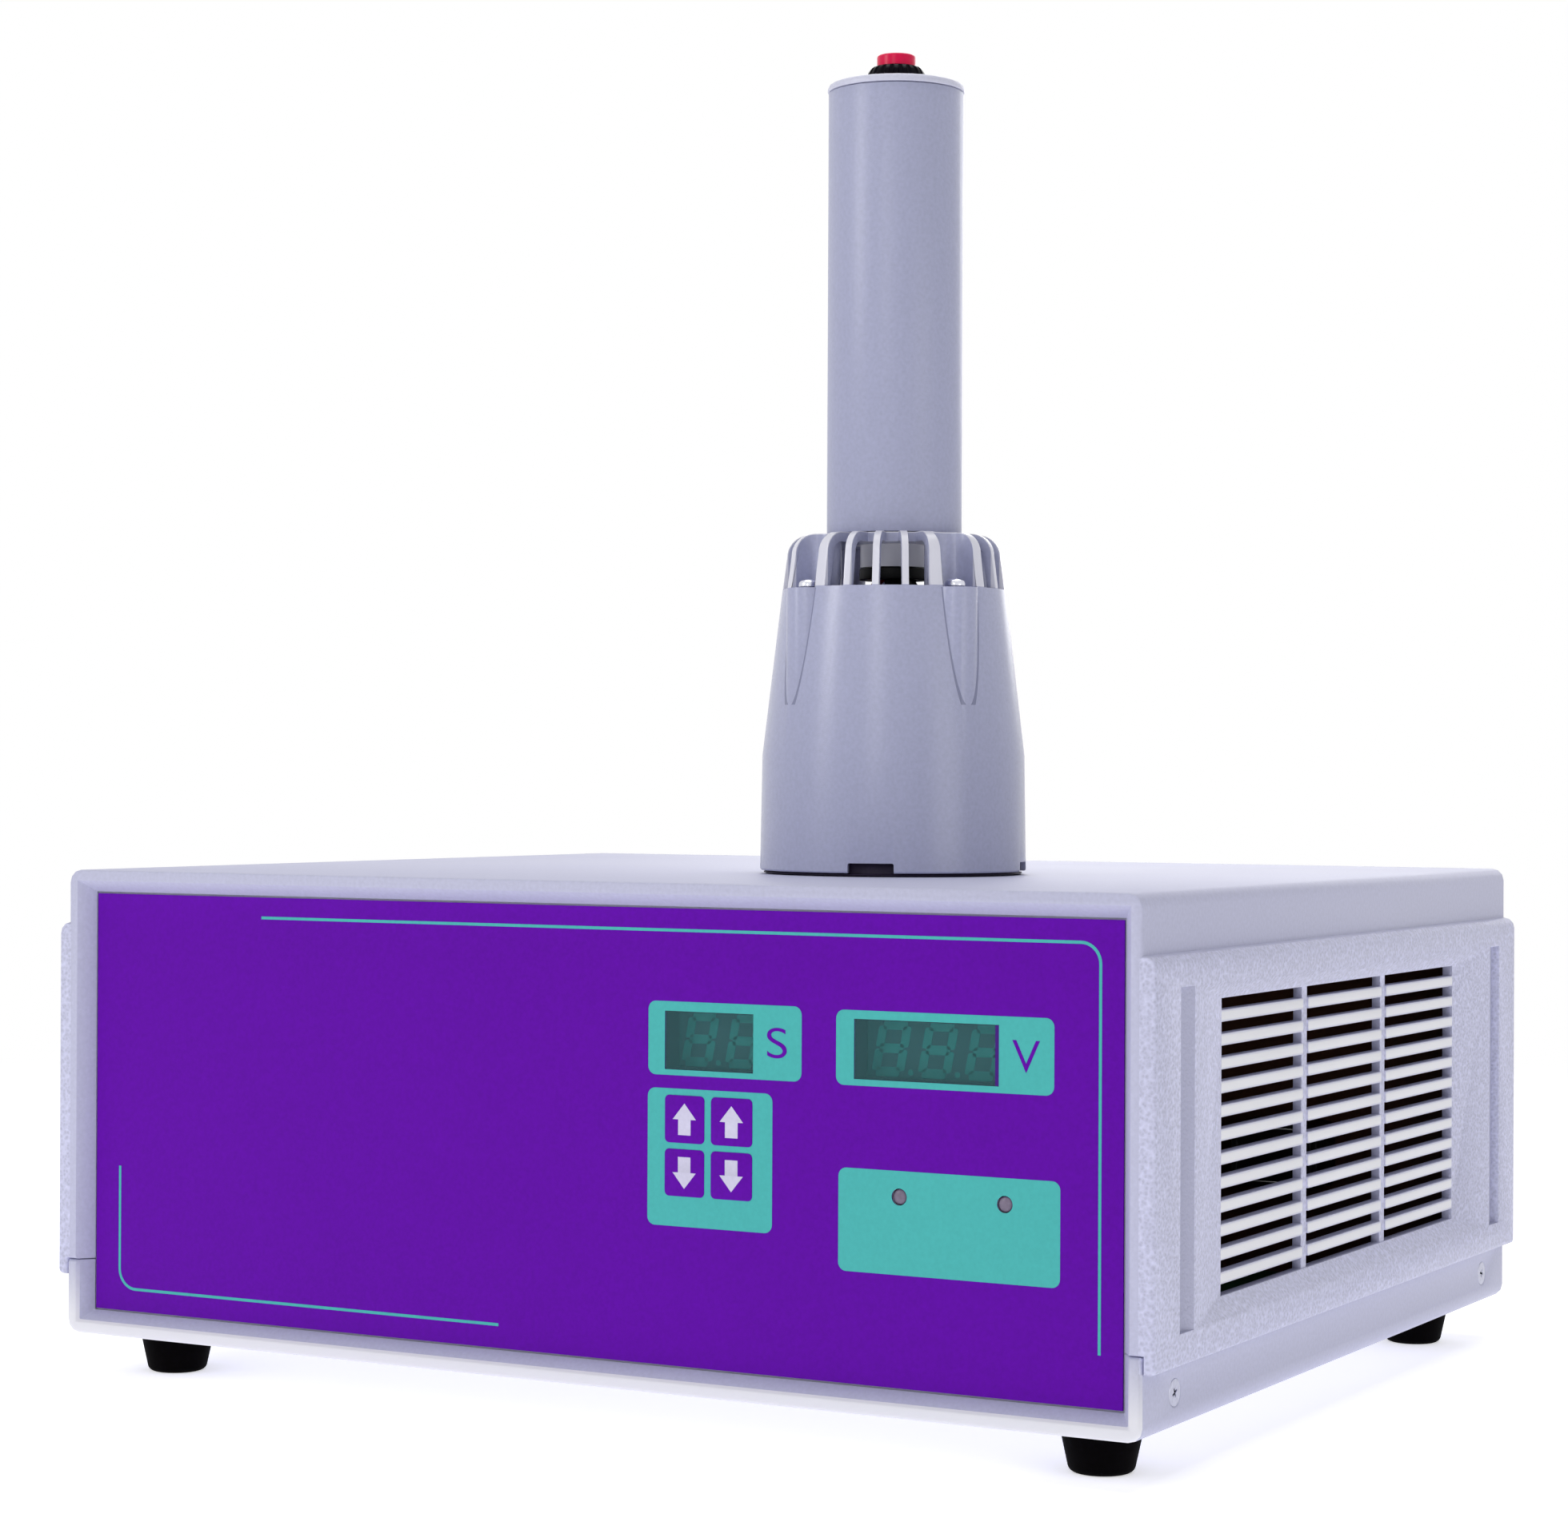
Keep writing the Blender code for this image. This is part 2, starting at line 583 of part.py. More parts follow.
def louvre_cutters(name, turn):
    """Sloped frame, slots, sunk mullions and end grooves of one cheek; the left one is turned half round."""
    cheek = empty(name + "_cheek", (0, 0, 0), (0, 0, turn))
    length = CASE_DEPTH - 2 * LOUVRE_END
    slot = (length - (SLOT_COLUMNS - 1) * MULLION) / SLOT_COLUMNS
    tall = (SLOT_ROWS - 1) * SLOT_PITCH + SLOT_HEIGHT
    middle = (CHEEK_LOW + CHEEK_HIGH) / 2
    low = middle - tall / 2
    depth = CHEEK_PROUD + OVER
    grow = depth / CHEEK_PROUD
    frame = tapered(
        name + "_slope",
        (SIDE, -length / 2, low),
        (SIDE + depth, length / 2, low + tall),
        0,
        (0, SLOPE_SIDE * grow, SLOPE_TOP * grow),
        cheek,
    )
    slots = box(
        name + "_slots",
        (INNER_SIDE - OVER, -length / 2, low),
        (SIDE + OVER, slot - length / 2, low + SLOT_HEIGHT),
        parent=cheek,
    )
    repeat(slots, SLOT_COLUMNS, y=slot + MULLION)
    repeat(slots, SLOT_ROWS, z=SLOT_PITCH)
    lap = MULLION_SINK / 2
    sunk = box(
        name + "_mullions",
        (SIDE - MULLION_SINK, slot - length / 2 - lap, low),
        (SIDE + OVER, slot + MULLION - length / 2 + lap, low + tall),
        parent=cheek,
    )
    repeat(sunk, SLOT_COLUMNS - 1, y=slot + MULLION)
    tools = [frame, slots, sunk]
    start = length / 2 + SLOPE_SIDE + RIDGE
    stop = start + GROOVE_WIDTH
    for end in (-1, 1):
        wedge = [(CHEEK, end * start), (CHEEK - GROOVE_DEPTH, end * stop)]
        wedge += [(CHEEK + OVER, end * stop), (CHEEK + OVER, end * start)]
        label = f"{name}_groove_{'rear' if end > 0 else 'front'}"
        tools.append(extruded(label, wedge, tall + 2 * SLOPE_TOP, parent=cheek, at=(0, 0, middle)))
    return tools


def case_shells():
    hollow_low = (-INNER_SIDE, FRONT + RIM_DEPTH, FLOOR)
    hollow_high = (INNER_SIDE, REAR - RIM_DEPTH, CASE_TOP - CASE_WALL)
    shared = [box("case_hollow", hollow_low, hollow_high)]
    shared += rim_cutters("front_rim", -1)
    shared += rim_cutters("rear_rim", 1)
    lying = (pi / 2, 0, 0)
    upper = extruded("upper_shell", upper_outline(), CASE_DEPTH, SHELL, turn=lying, rim=RIM_ROUND)
    lower = extruded("lower_shell", lower_outline(), CASE_DEPTH, SHELL, turn=lying, rim=RIM_ROUND)
    cut(upper, *shared)
    cut(lower, *shared)
    cut(upper, *louvre_cutters("right", 0), *louvre_cutters("left", pi))
    for side in (-1, 1):
        for end in (-1, 1):
            hand = f"{'right' if side > 0 else 'left'}_{'rear' if end > 0 else 'front'}"
            y = end * (CASE_DEPTH / 2 - CASE_SCREW_INSET)
            z = CASE_BOTTOM + CASE_SCREW_HEIGHT
            fuse(upper, lug(hand + "_lug", side, y))
            outward = (0, side * pi / 2, 0)
            bore = SCREW_SHANK + FIT
            sink = CASE_SCREW_HEAD + FIT
            profile = [(0, OVER), (sink, OVER), (sink, 0), (bore, bore - sink), (bore, -4 * CASE_WALL)]
            profile += [(0, -4 * CASE_WALL)]
            at = (side * SIDE, y, z)
            hole = turned(hand + "_screw_hole", profile, at=at, turn=outward, steps=SMALL_STEPS)
            cut(upper, hole)
            cut(lower, hole)
            screw(f"case_screw_{hand}", CASE_SCREW_HEAD, CASE_SCREW_LENGTH, at=at, turn=outward, sunk=True)
            foot(lower, hand, side, end)
    return upper, lower


def foot(lower, hand, side, end):
    """A rubber foot pushed into the floor of the lower shell by its stud."""
    at = (side * (SIDE - FOOT_INSET_X), end * (CASE_DEPTH / 2 - FOOT_INSET_Y), 0)
    top = FOOT_HEIGHT - FIT
    neck = FLOOR + FIT
    tip = neck + 2 * FOOT_STUD
    profile = [(0, tip), (FOOT_STUD / 2, tip), (FOOT_BULB, neck + FOOT_STUD / 2)]
    profile += [(FOOT_BULB, neck), (FOOT_STUD, neck), (FOOT_STUD, top), (FOOT_TOP, top)]
    profile += reversed(arc((FOOT_SOLE - FOOT_ROUND, FOOT_ROUND), FOOT_ROUND, 270, 360, 2))
    profile += [(0, 0)]
    turned(f"foot_{hand}", profile, RUBBER, at=at, steps=SMALL_STEPS)
    hole = FOOT_STUD + FIT
    middle = (CASE_BOTTOM + FLOOR) / 2
    gap = CASE_WALL / 2 + OVER
    bore = [(0, gap), (hole, gap), (hole, -gap), (0, -gap)]
    cut(lower, turned(f"foot_hole_{hand}", bore, at=(at[0], at[1], middle), steps=SMALL_STEPS))


def panel(name, end):
    """A flat panel in the grooves of one rim."""
    edge = PANEL_LEDGE - PANEL_SEAT
    face = end * CASE_DEPTH / 2
    levels = sorted((face - end * PANEL_FACE, face - end * PANEL_BACK))
    low = (edge - SIDE, levels[0], CASE_BOTTOM + edge)
    high = (SIDE - edge, levels[1], CASE_TOP - edge)
    return box(name, low, high, PANEL_PLASTIC)


def front_panel():
    """The front panel, the film on it, and the board behind it with the displays, keys and lamps."""
    plate = panel("front_panel", -1)
    edge = PANEL_LEDGE + FILM_MARGIN
    low = (edge - SIDE, FILM_FACE, CASE_BOTTOM + edge)
    high = (SIDE - edge, FILM_FACE + FILM_THICK, CASE_TOP - edge)
    film = box("keypad_film", low, high, FILM)
    control_board(plate)
    display("time_display", TIME_WINDOW_INSET, TIME_WINDOW_WIDTH, plate, film)
    display("volt_display", VOLT_WINDOW_INSET, VOLT_WINDOW_WIDTH, plate, film)
    for column, inset in KEY_COLUMNS.items():
        for row, rise in KEY_ROWS.items():
            key(f"{row}_key_{column}", SIDE - inset, PANEL_MIDDLE + rise, plate)
    for name, inset in LAMPS.items():
        lamp(name, SIDE - inset, plate, film)


def control_board(plate):
    """The board behind the front panel and the four studs of the panel that it sits on."""
    left = SIDE - TIME_WINDOW_INSET - TIME_WINDOW_WIDTH - BOARD_SIDE_MARGIN
    right = SIDE - VOLT_WINDOW_INSET + BOARD_SIDE_MARGIN
    low = PANEL_MIDDLE + LAMP_RISE - BOARD_FOOT_MARGIN
    high = WINDOW_HIGH + BOARD_TOP_MARGIN
    box("control_board", (left, BOARD_FACE, low), (right, BOARD_FACE + BOARD_THICK, high), BOARD)
    root = -STUD_LENGTH - PANEL_THICK / 2
    stud = [(0, 0), (STUD_RADIUS, 0), (STUD_RADIUS, root), (0, root)]
    for x in (left + BOARD_STUD_INSET, right - BOARD_STUD_INSET):
        for z in (low + BOARD_STUD_INSET, high - BOARD_STUD_INSET):
            at = (x, BOARD_FACE - FIT, z)
            fuse(plate, turned("board_stud", stud, at=at, turn=(-pi / 2, 0, 0), steps=SMALL_STEPS))


def display(name, inset, width, plate, film):
    """A display on the board, well behind its window in the film and the panel."""
    right = SIDE - inset
    left = right - width
    low = (left + FIT, FILM_FACE + DISPLAY_RECESS, WINDOW_LOW + FIT)
    box(name, low, (right - FIT, BOARD_FACE - FIT, WINDOW_HIGH - FIT), DISPLAY)
    hole_low = (left, FILM_FACE - OVER, WINDOW_LOW)
    hole = box(name + "_hole", hole_low, (right, FRONT + PANEL_BACK + OVER, WINDOW_HIGH))
    cut(plate, hole)
    cut(film, hole)


def key(name, x, z, plate):
    """A key's plunger under the film, and the switch on the board that it presses."""
    half = KEY_SWITCH_SIDE / 2
    shoulder = BOARD_FACE - FIT - KEY_SWITCH_DEPTH
    corner = (x + half, BOARD_FACE - FIT, z + half)
    body = box(name + "_switch", (x - half, shoulder, z - half), corner, BLACK)
    outward = (pi / 2, 0, 0)
    well = KEY_PLUNGER + FIT
    sink = KEY_SWITCH_DEPTH / 2
    bore = [(0, OVER), (well, OVER), (well, -sink), (0, -sink)]
    cut(body, turned(name + "_well", bore, at=(x, shoulder, z), turn=outward, steps=SMALL_STEPS))
    face = FRONT + PANEL_FACE
    length = shoulder + sink - FIT - KEY_TRAVEL - face
    pin = [(0, 0), (KEY_PLUNGER, 0), (KEY_PLUNGER, -length), (0, -length)]
    turned(name, pin, BLACK, at=(x, face, z), turn=outward, steps=SMALL_STEPS)
    reach = PANEL_THICK + OVER
    hole = [(0, OVER), (well, OVER), (well, -reach), (0, -reach)]
    cut(plate, turned(name + "_hole", hole, at=(x, face, z), turn=outward, steps=SMALL_STEPS))


def lamp(name, x, plate, film):
    """A warning lamp that reaches from the board through the panel and the film."""
    at = (x, FILM_FACE, PANEL_MIDDLE + LAMP_RISE)
    outward = (pi / 2, 0, 0)
    length = BOARD_FACE - FIT - FILM_FACE
    nose = LAMP_RADIUS - LAMP_ROUND
    profile = [(0, 0), (nose, 0), (LAMP_RADIUS, -LAMP_ROUND), (LAMP_RADIUS, -length), (0, -length)]
    turned(name, profile, LAMP, at=at, turn=outward, steps=SMALL_STEPS)
    well = LAMP_RADIUS + FIT
    reach = FILM_THICK + PANEL_THICK + OVER
    bore = [(0, OVER), (well, OVER), (well, -reach), (0, -reach)]
    hole = turned(name + "_hole", bore, at=at, turn=outward, steps=SMALL_STEPS)
    cut(plate, hole)
    cut(film, hole)


def fan(plate):
    """Fan frame, rotor, wire guard and four screws, on an empty whose Z axis points out of the rear."""
    back = REAR - PANEL_BACK - FIT
    axis = empty("fan_axis", (FAN_X, back - FAN_DEPTH, PANEL_MIDDLE), (-pi / 2, 0, 0))
    square = rounded(FAN_SIDE, FAN_SIDE, FAN_CORNER)
    frame = extruded("fan_frame", square, FAN_DEPTH, BLACK, axis, (0, 0, FAN_DEPTH / 2))
    top = FAN_DEPTH + OVER
    bore = [(0, top), (FAN_BORE, top), (FAN_BORE, -OVER), (0, -OVER)]
    cut(frame, turned("fan_bore", bore, parent=axis))
    hub = FAN_HUB
    pivot = SCREW_SHANK + FIT
    disc = [(pivot, FAN_HUB_PLATE), (hub, FAN_HUB_PLATE), (hub, 0), (pivot, 0)]
    fuse(frame, turned("fan_hub_plate", disc, parent=axis, steps=SMALL_STEPS, ring=True))
    start = hub - OVER
    stop = FAN_BORE + OVER
    for i in range(FAN_STRUTS):
        angle = 2 * pi * (i + 0.5) / FAN_STRUTS
        strut = box("fan_strut", (start, -FAN_STRUT / 2, 0), (stop, FAN_STRUT / 2, FAN_STRUT_THICK))
        strut.parent = axis
        strut.location = (*polar((start + stop) / 2, angle), FAN_HUB_PLATE / 2)
        strut.rotation_euler.z = angle
        fuse(frame, strut)

    floor = FAN_HUB_PLATE + FIT
    roof = FAN_DEPTH - FAN_HUB_SINK
    edge = FAN_HUB_CHAMFER
    profile = [(0, roof), (hub - edge, roof), (hub, roof - edge), (hub, floor), (SCREW_SHANK, floor)]
    profile += [(SCREW_SHANK, 0), (0, 0)]
    rotor = turned("fan_rotor", profile, BLACK, axis, steps=MIDDLE_STEPS)
    tip = FAN_BORE - FAN_TIP_GAP
    middle = (floor + roof) / 2
    for i in range(FAN_BLADES):
        half = (tip - hub + OVER) / 2
        chord = FAN_BLADE_CHORD / 2
        blade = box("fan_blade", (-half, -chord, -FAN_BLADE_THICK / 2), (half, chord, FAN_BLADE_THICK / 2))
        angle = 2 * pi * i / FAN_BLADES
        blade.parent = axis
        blade.location = (*polar(tip - half, angle), middle)
        blade.rotation_euler = (FAN_BLADE_PITCH, 0, angle)
        fuse(rotor, blade)

    face = REAR - PANEL_FACE + FIT - (back - FAN_DEPTH)
    corner = FAN_SCREW_PITCH / 2
    wire = GUARD_WIRE / 2
    guard = None
    for radius in GUARD_RINGS:
        ring = [(radius - wire, face + 2 * wire), (radius + wire, face + 2 * wire)]
        ring += [(radius + wire, face), (radius - wire, face)]
        skin = None if guard else STEEL
        name = "guard_ring" if guard else "fan_guard"
        hoop = turned(name, ring, skin, axis, steps=MIDDLE_STEPS, ring=True)
        if guard:
            fuse(guard, hoop)
        guard = guard or hoop
    spoke = corner * sqrt(2)
    for turn in (pi / 4, -pi / 4):
        bar = box("guard_bar", (-spoke, -wire, face + wire / 4), (spoke, wire, face + wire * 7 / 4))
        bar.parent = axis
        bar.rotation_euler.z = turn
        fuse(guard, bar)
    for sx in (-1, 1):
        for sy in (-1, 1):
            lug_disc = [(0, face + 2 * wire), (GUARD_LUG, face + 2 * wire), (GUARD_LUG, face), (0, face)]
            at = (sx * corner, sy * corner, 0)
            fuse(guard, turned("guard_lug", lug_disc, parent=axis, at=at, steps=SCREW_STEPS))
            well = [(0, face + OVER * 2), (pivot, face + OVER * 2), (pivot, -OVER), (0, -OVER)]
            hole = turned("fan_screw_hole", well, parent=axis, at=at, steps=SCREW_STEPS)
            cut(frame, hole)
            cut(guard, hole)
            cut(plate, hole)
            side = "right" if sx > 0 else "left"
            level = "lower" if sy > 0 else "upper"
            screw(
                f"fan_screw_{level}_{side}",
                FAN_SCREW_HEAD,
                FAN_SCREW_LENGTH,
                axis,
                (at[0], at[1], face + 2 * wire + FIT),
                tall=FAN_SCREW_HEAD_TALL,
            )
    throat = [(0, face + OVER), (FAN_BORE, face + OVER), (FAN_BORE, FAN_DEPTH - OVER), (0, FAN_DEPTH - OVER)]
    cut(plate, turned("fan_throat", throat, parent=axis))


def mains_inlet(plate):
    """Appliance inlet: a flanged sleeve in the rear panel, closed behind by the plate of its contacts."""
    z = CASE_BOTTOM + INLET_HEIGHT
    face = REAR - PANEL_FACE
    outward = (-pi / 2, 0, 0)
    wide = INLET_WIDTH + 2 * INLET_WALL
    tall = INLET_TALL + 2 * INLET_WALL
    wall = (INLET_X, face, z)
    outer = rounded(wide, tall, INLET_CORNER)
    at = (INLET_X, face - INLET_DEPTH / 2, z)
    sleeve = extruded("mains_inlet", outer, INLET_DEPTH, BLACK, at=at, turn=outward)
    rim = rounded(wide + INLET_FLANGE, tall + INLET_FLANGE, INLET_CORNER)
    at = (INLET_X, face + FIT + INLET_FLANGE_THICK / 2, z)
    flange = extruded("inlet_flange", rim, INLET_FLANGE_THICK, at=at, turn=outward)
    waist = rounded(wide - FIT, tall - FIT, INLET_CORNER)
    neck = extruded("inlet_neck", waist, 2 * OVER, at=wall, turn=outward)
    opening = rounded(INLET_WIDTH, INLET_TALL, INLET_MOUTH_CORNER)
    mouth = extruded("inlet_mouth", opening, 2 * INLET_DEPTH + 4 * OVER, at=wall, turn=outward)
    fuse(sleeve, neck, flange)
    cut(sleeve, mouth)
    loose = rounded(wide + 2 * FIT, tall + 2 * FIT, INLET_CORNER)
    cut(plate, extruded("inlet_hole", loose, 4 * OVER, at=wall, turn=outward))

    root = face - INLET_DEPTH + CONTACT_PLATE
    inside = rounded(INLET_WIDTH - 2 * FIT, INLET_TALL - 2 * FIT, INLET_MOUTH_CORNER)
    at = (INLET_X, root - CONTACT_PLATE / 2, z)
    carrier = extruded("inlet_contacts", inside, CONTACT_PLATE, BLACK, at=at, turn=outward)
    half = CONTACT_WIDTH / 2
    for step, rise in ((-1, -CONTACT_RISE), (0, CONTACT_RISE), (1, -CONTACT_RISE)):
        x = INLET_X + step * CONTACT_SPACING
        low = (x - half, root - CONTACT_PLATE / 2, z + rise - CONTACT_TALL / 2)
        high = (x + half, root + CONTACT_LENGTH, z + rise + CONTACT_TALL / 2)
        fuse(carrier, box("contact_blade", low, high))


def power_switch(plate):
    """Rocker switch, its rocker on two pins; it rests with the lower end in, which is off."""
    z = CASE_BOTTOM + SWITCH_HEIGHT
    face = REAR - PANEL_FACE
    tip = ROCKER_RISE + ROCKER_HALF * tan(ROCKER_TILT)
    half_long = ROCKER_HALF * cos(ROCKER_TILT) + tip * sin(ROCKER_TILT) + FIT
    half_wide = ROCKER_WIDTH / 2 + FIT
    outer_long = half_long + SWITCH_WALL
    outer_wide = half_wide + SWITCH_WALL
    bezel_face = face + FIT + SWITCH_BEZEL_THICK
    low = (SWITCH_X - outer_wide, face - SWITCH_DEPTH, z - outer_long)
    high = (SWITCH_X + outer_wide, (face + bezel_face) / 2, z + outer_long)
    body = box("power_switch", low, high, BLACK)
    bezel_low = (low[0] - SWITCH_BEZEL, face + FIT, low[2] - SWITCH_BEZEL)
    bezel_high = (high[0] + SWITCH_BEZEL, bezel_face, high[2] + SWITCH_BEZEL)
    fuse(body, box("switch_bezel", bezel_low, bezel_high, along=1, radius=SWITCH_BEZEL_CORNER))
    pivot = face - ROCKER_PIVOT_DEPTH
    well_low = (SWITCH_X - half_wide, pivot - ROCKER_DEPTH - OVER, z - half_long)
    well_high = (SWITCH_X + half_wide, face + 2 * OVER, z + half_long)
    cut(body, box("switch_well", well_low, well_high))
    hole_low = (low[0] - FIT, face - 2 * OVER, low[2] - FIT)
    hole_high = (high[0] + FIT, face + OVER, high[2] + FIT)
    cut(plate, box("switch_hole", hole_low, hole_high))

    hinge = empty("power_rocker_pivot", (SWITCH_X, pivot, z), (-ROCKER_TILT, 0, 0))
    waist = ROCKER_HALF - ROCKER_DRAFT
    outline = [(ROCKER_RISE, 0), (tip, ROCKER_HALF), (0, waist), (-ROCKER_DEPTH, ROCKER_FOOT)]
    outline += [(-ROCKER_DEPTH, -ROCKER_FOOT), (0, -waist), (tip, -ROCKER_HALF)]
    across = (pi / 2, 0, pi / 2)
    rocker = extruded("power_rocker", outline, ROCKER_WIDTH, BLACK, hinge, turn=across)
    for part, radius, reach in ((rocker, ROCKER_PIN, FIT), (body, ROCKER_PIN + FIT, SWITCH_WALL)):
        half = half_wide + reach
        pin = [(0, half), (radius, half), (radius, -half), (0, -half)]
        pin = turned("rocker_pin", pin, parent=hinge, turn=across, steps=SMALL_STEPS)
        if part is rocker:
            fuse(part, pin)
        else:
            cut(part, pin)


def cable_bush(name, wall, at, turn):
    """A rubber bush in a hole of a wall; its origin is on the wall's outer face and Z points out."""
    outer = BUSH_FLANGE_THICK + FIT
    inner = -wall - FIT
    profile = [(CABLE_BORE, outer), (BUSH_FLANGE, outer), (BUSH_FLANGE, FIT), (BUSH_NECK, FIT)]
    profile += [(BUSH_NECK, inner), (BUSH_FLANGE - BUSH_LEAD_IN, inner)]
    profile += [(BUSH_NECK, inner - BUSH_FLANGE_THICK)]
    profile += [(CABLE_BORE, inner - BUSH_FLANGE_THICK)]
    turned(name, profile, RUBBER, None, at, turn, SMALL_STEPS, ring=True)
    hole = BUSH_NECK + FIT
    reach = wall + OVER
    bore = [(0, OVER), (hole, OVER), (hole, -reach), (0, -reach)]
    return turned(name + "_hole", bore, at=at, turn=turn, steps=SMALL_STEPS)


def saddle_bush(name, z, head):
    """The handle's cable bush, its two flanges hollowed to the tube's curve; it points to the box's rear."""
    inner = TUBE - TUBE_WALL
    deep = TUBE - sqrt((inner - FIT) ** 2 - BUSH_FLANGE ** 2) + BUSH_FLANGE_THICK
    top = BUSH_FLANGE_THICK + FIT
    side = empty(name + "_axis", (0, 0, z), (0, 0, -HEAD_TURN))
    side.parent = head
    at = (0, TUBE, 0)
    outward = (-pi / 2, 0, 0)
    profile = [(CABLE_BORE, top), (BUSH_FLANGE, top), (BUSH_FLANGE, -deep), (CABLE_BORE, -deep)]
    bush = turned(name, profile, RUBBER, side, at, outward, SMALL_STEPS, ring=True)
    reach = BUSH_FLANGE + OVER
    wall = [(TUBE + FIT, reach), (TUBE + FIT, -reach), (inner - FIT, -reach), (inner - FIT, reach)]
    saddle = turned(name + "_saddle", wall, parent=side, ring=True)
    neck = [(0, top), (BUSH_NECK, top), (BUSH_NECK, -deep - OVER), (0, -deep - OVER)]
    cut(saddle, turned(name + "_neck", neck, parent=side, at=at, turn=outward, steps=SMALL_STEPS))
    cut(bush, saddle)
    hole = BUSH_NECK + FIT
    bore = [(0, OVER), (hole, OVER), (hole, -deep), (0, -deep)]
    return turned(name + "_hole", bore, parent=side, at=at, turn=outward, steps=SMALL_STEPS)


def rear_panel_and_fittings():
    plate = panel("rear_panel", 1)
    fan(plate)
    mains_inlet(plate)
    power_switch(plate)
    at = (PANEL_BUSH_X, REAR - PANEL_FACE, CASE_BOTTOM + PANEL_BUSH_HEIGHT)
    cut(plate, cable_bush("rear_cable_bush", PANEL_THICK, at, (-pi / 2, 0, 0)))


def electronics(lower):
    """Main board on its standoffs, with the heat sink and the transformer on it."""
    rear = REAR - MAIN_BOARD_REAR
    front = FRONT + MAIN_BOARD_FRONT
    board_low = FLOOR + STANDOFF_HEIGHT + FIT
    half = MAIN_BOARD_WIDTH / 2
    box("main_board", (-half, front, board_low), (half, rear, board_low + BOARD_THICK), BOARD)
    for x in (STANDOFF_INSET - half, half - STANDOFF_INSET):
        for y in (front + STANDOFF_INSET, rear - STANDOFF_INSET):
            top = FLOOR + STANDOFF_HEIGHT
            base = FLOOR - CASE_WALL / 2
            post = [(0, top), (STANDOFF_RADIUS, top), (STANDOFF_RADIUS, base), (0, base)]
            fuse(lower, turned("standoff", post, at=(x, y, 0), steps=SMALL_STEPS))
    deck = board_low + BOARD_THICK + FIT
    middle = (front + rear) / 2

    pitch = (SINK_WIDTH - SINK_FIN) / (SINK_FINS - 1)
    comb = [(0, 0), (SINK_WIDTH, 0)]
    for i in reversed(range(SINK_FINS)):
        left = i * pitch
        comb += [(left + SINK_FIN, SINK_TALL), (left, SINK_TALL)]
        if i:
            comb += [(left, SINK_BASE), (left - pitch + SINK_FIN, SINK_BASE)]
    at = (SINK_X - SINK_WIDTH / 2, middle, deck)
    extruded("heat_sink", comb, SINK_DEPTH, ALUMINIUM, at=at, turn=(pi / 2, 0, 0))

    x_low = CORE_X - CORE_WIDTH / 2
    y_low = middle - CORE_DEPTH / 2
    core_high = (x_low + CORE_WIDTH, y_low + CORE_DEPTH, deck + CORE_TALL)
    core = box("transformer_core", (x_low, y_low, deck), core_high, FERRITE)
    leg = CORE_WIDTH - 2 * CORE_LEG - 2 * CORE_WINDOW
    for start in (x_low + CORE_LEG, x_low + CORE_LEG + CORE_WINDOW + leg):
        window_low = (start, y_low - OVER, deck + CORE_LEG)
        window_high = (start + CORE_WINDOW, y_low + CORE_DEPTH + OVER, deck + CORE_TALL - CORE_LEG)
        cut(core, box("core_window", window_low, window_high))
    reach = leg / 2 + CORE_WINDOW - FIT
    ring_low = (CORE_X - reach, y_low - WINDING_PROUD, deck + CORE_LEG + FIT)
    ring_high = (CORE_X + reach, y_low + CORE_DEPTH + WINDING_PROUD, deck + CORE_TALL - CORE_LEG - FIT)
    winding = box("transformer_winding", ring_low, ring_high, COPPER, along=2, radius=WINDING_CORNER)
    leg_low = (CORE_X - leg / 2 - FIT, y_low - FIT, deck)
    leg_high = (CORE_X + leg / 2 + FIT, y_low + CORE_DEPTH + FIT, deck + CORE_TALL)
    cut(winding, box("winding_hole", leg_low, leg_high))


def vent_outline(first, first_half, second, second_half):
    """The plan of one vent between two ribs of constant width."""
    far = BELL_FOOT
    near = VENT_INNER
    points = []
    for angle, half, radii in ((first, first_half, (near, far)), (second, -second_half, (far, near))):
        for radius in radii:
            along = sqrt(radius * radius - half * half)
            x = along * cos(angle) - half * sin(angle)
            y = along * sin(angle) + half * cos(angle)
            points.append((x, y))
    return points


def pocket(name, radius, low, angle, head):
    """A cutter for a screw pocket: round at the back, open outwards, from a level to above the cage."""
    outline = arc((0, 0), radius, 90, 270, 6)
    outline += [(BELL_FOOT, -radius), (BELL_FOOT, radius)]
    tall = CAGE_TOP_Z + OVER - low
    at = (*polar(POCKET_CIRCLE, angle), low + tall / 2)
    return extruded(name, outline, tall, parent=head, at=at, turn=(0, 0, angle))


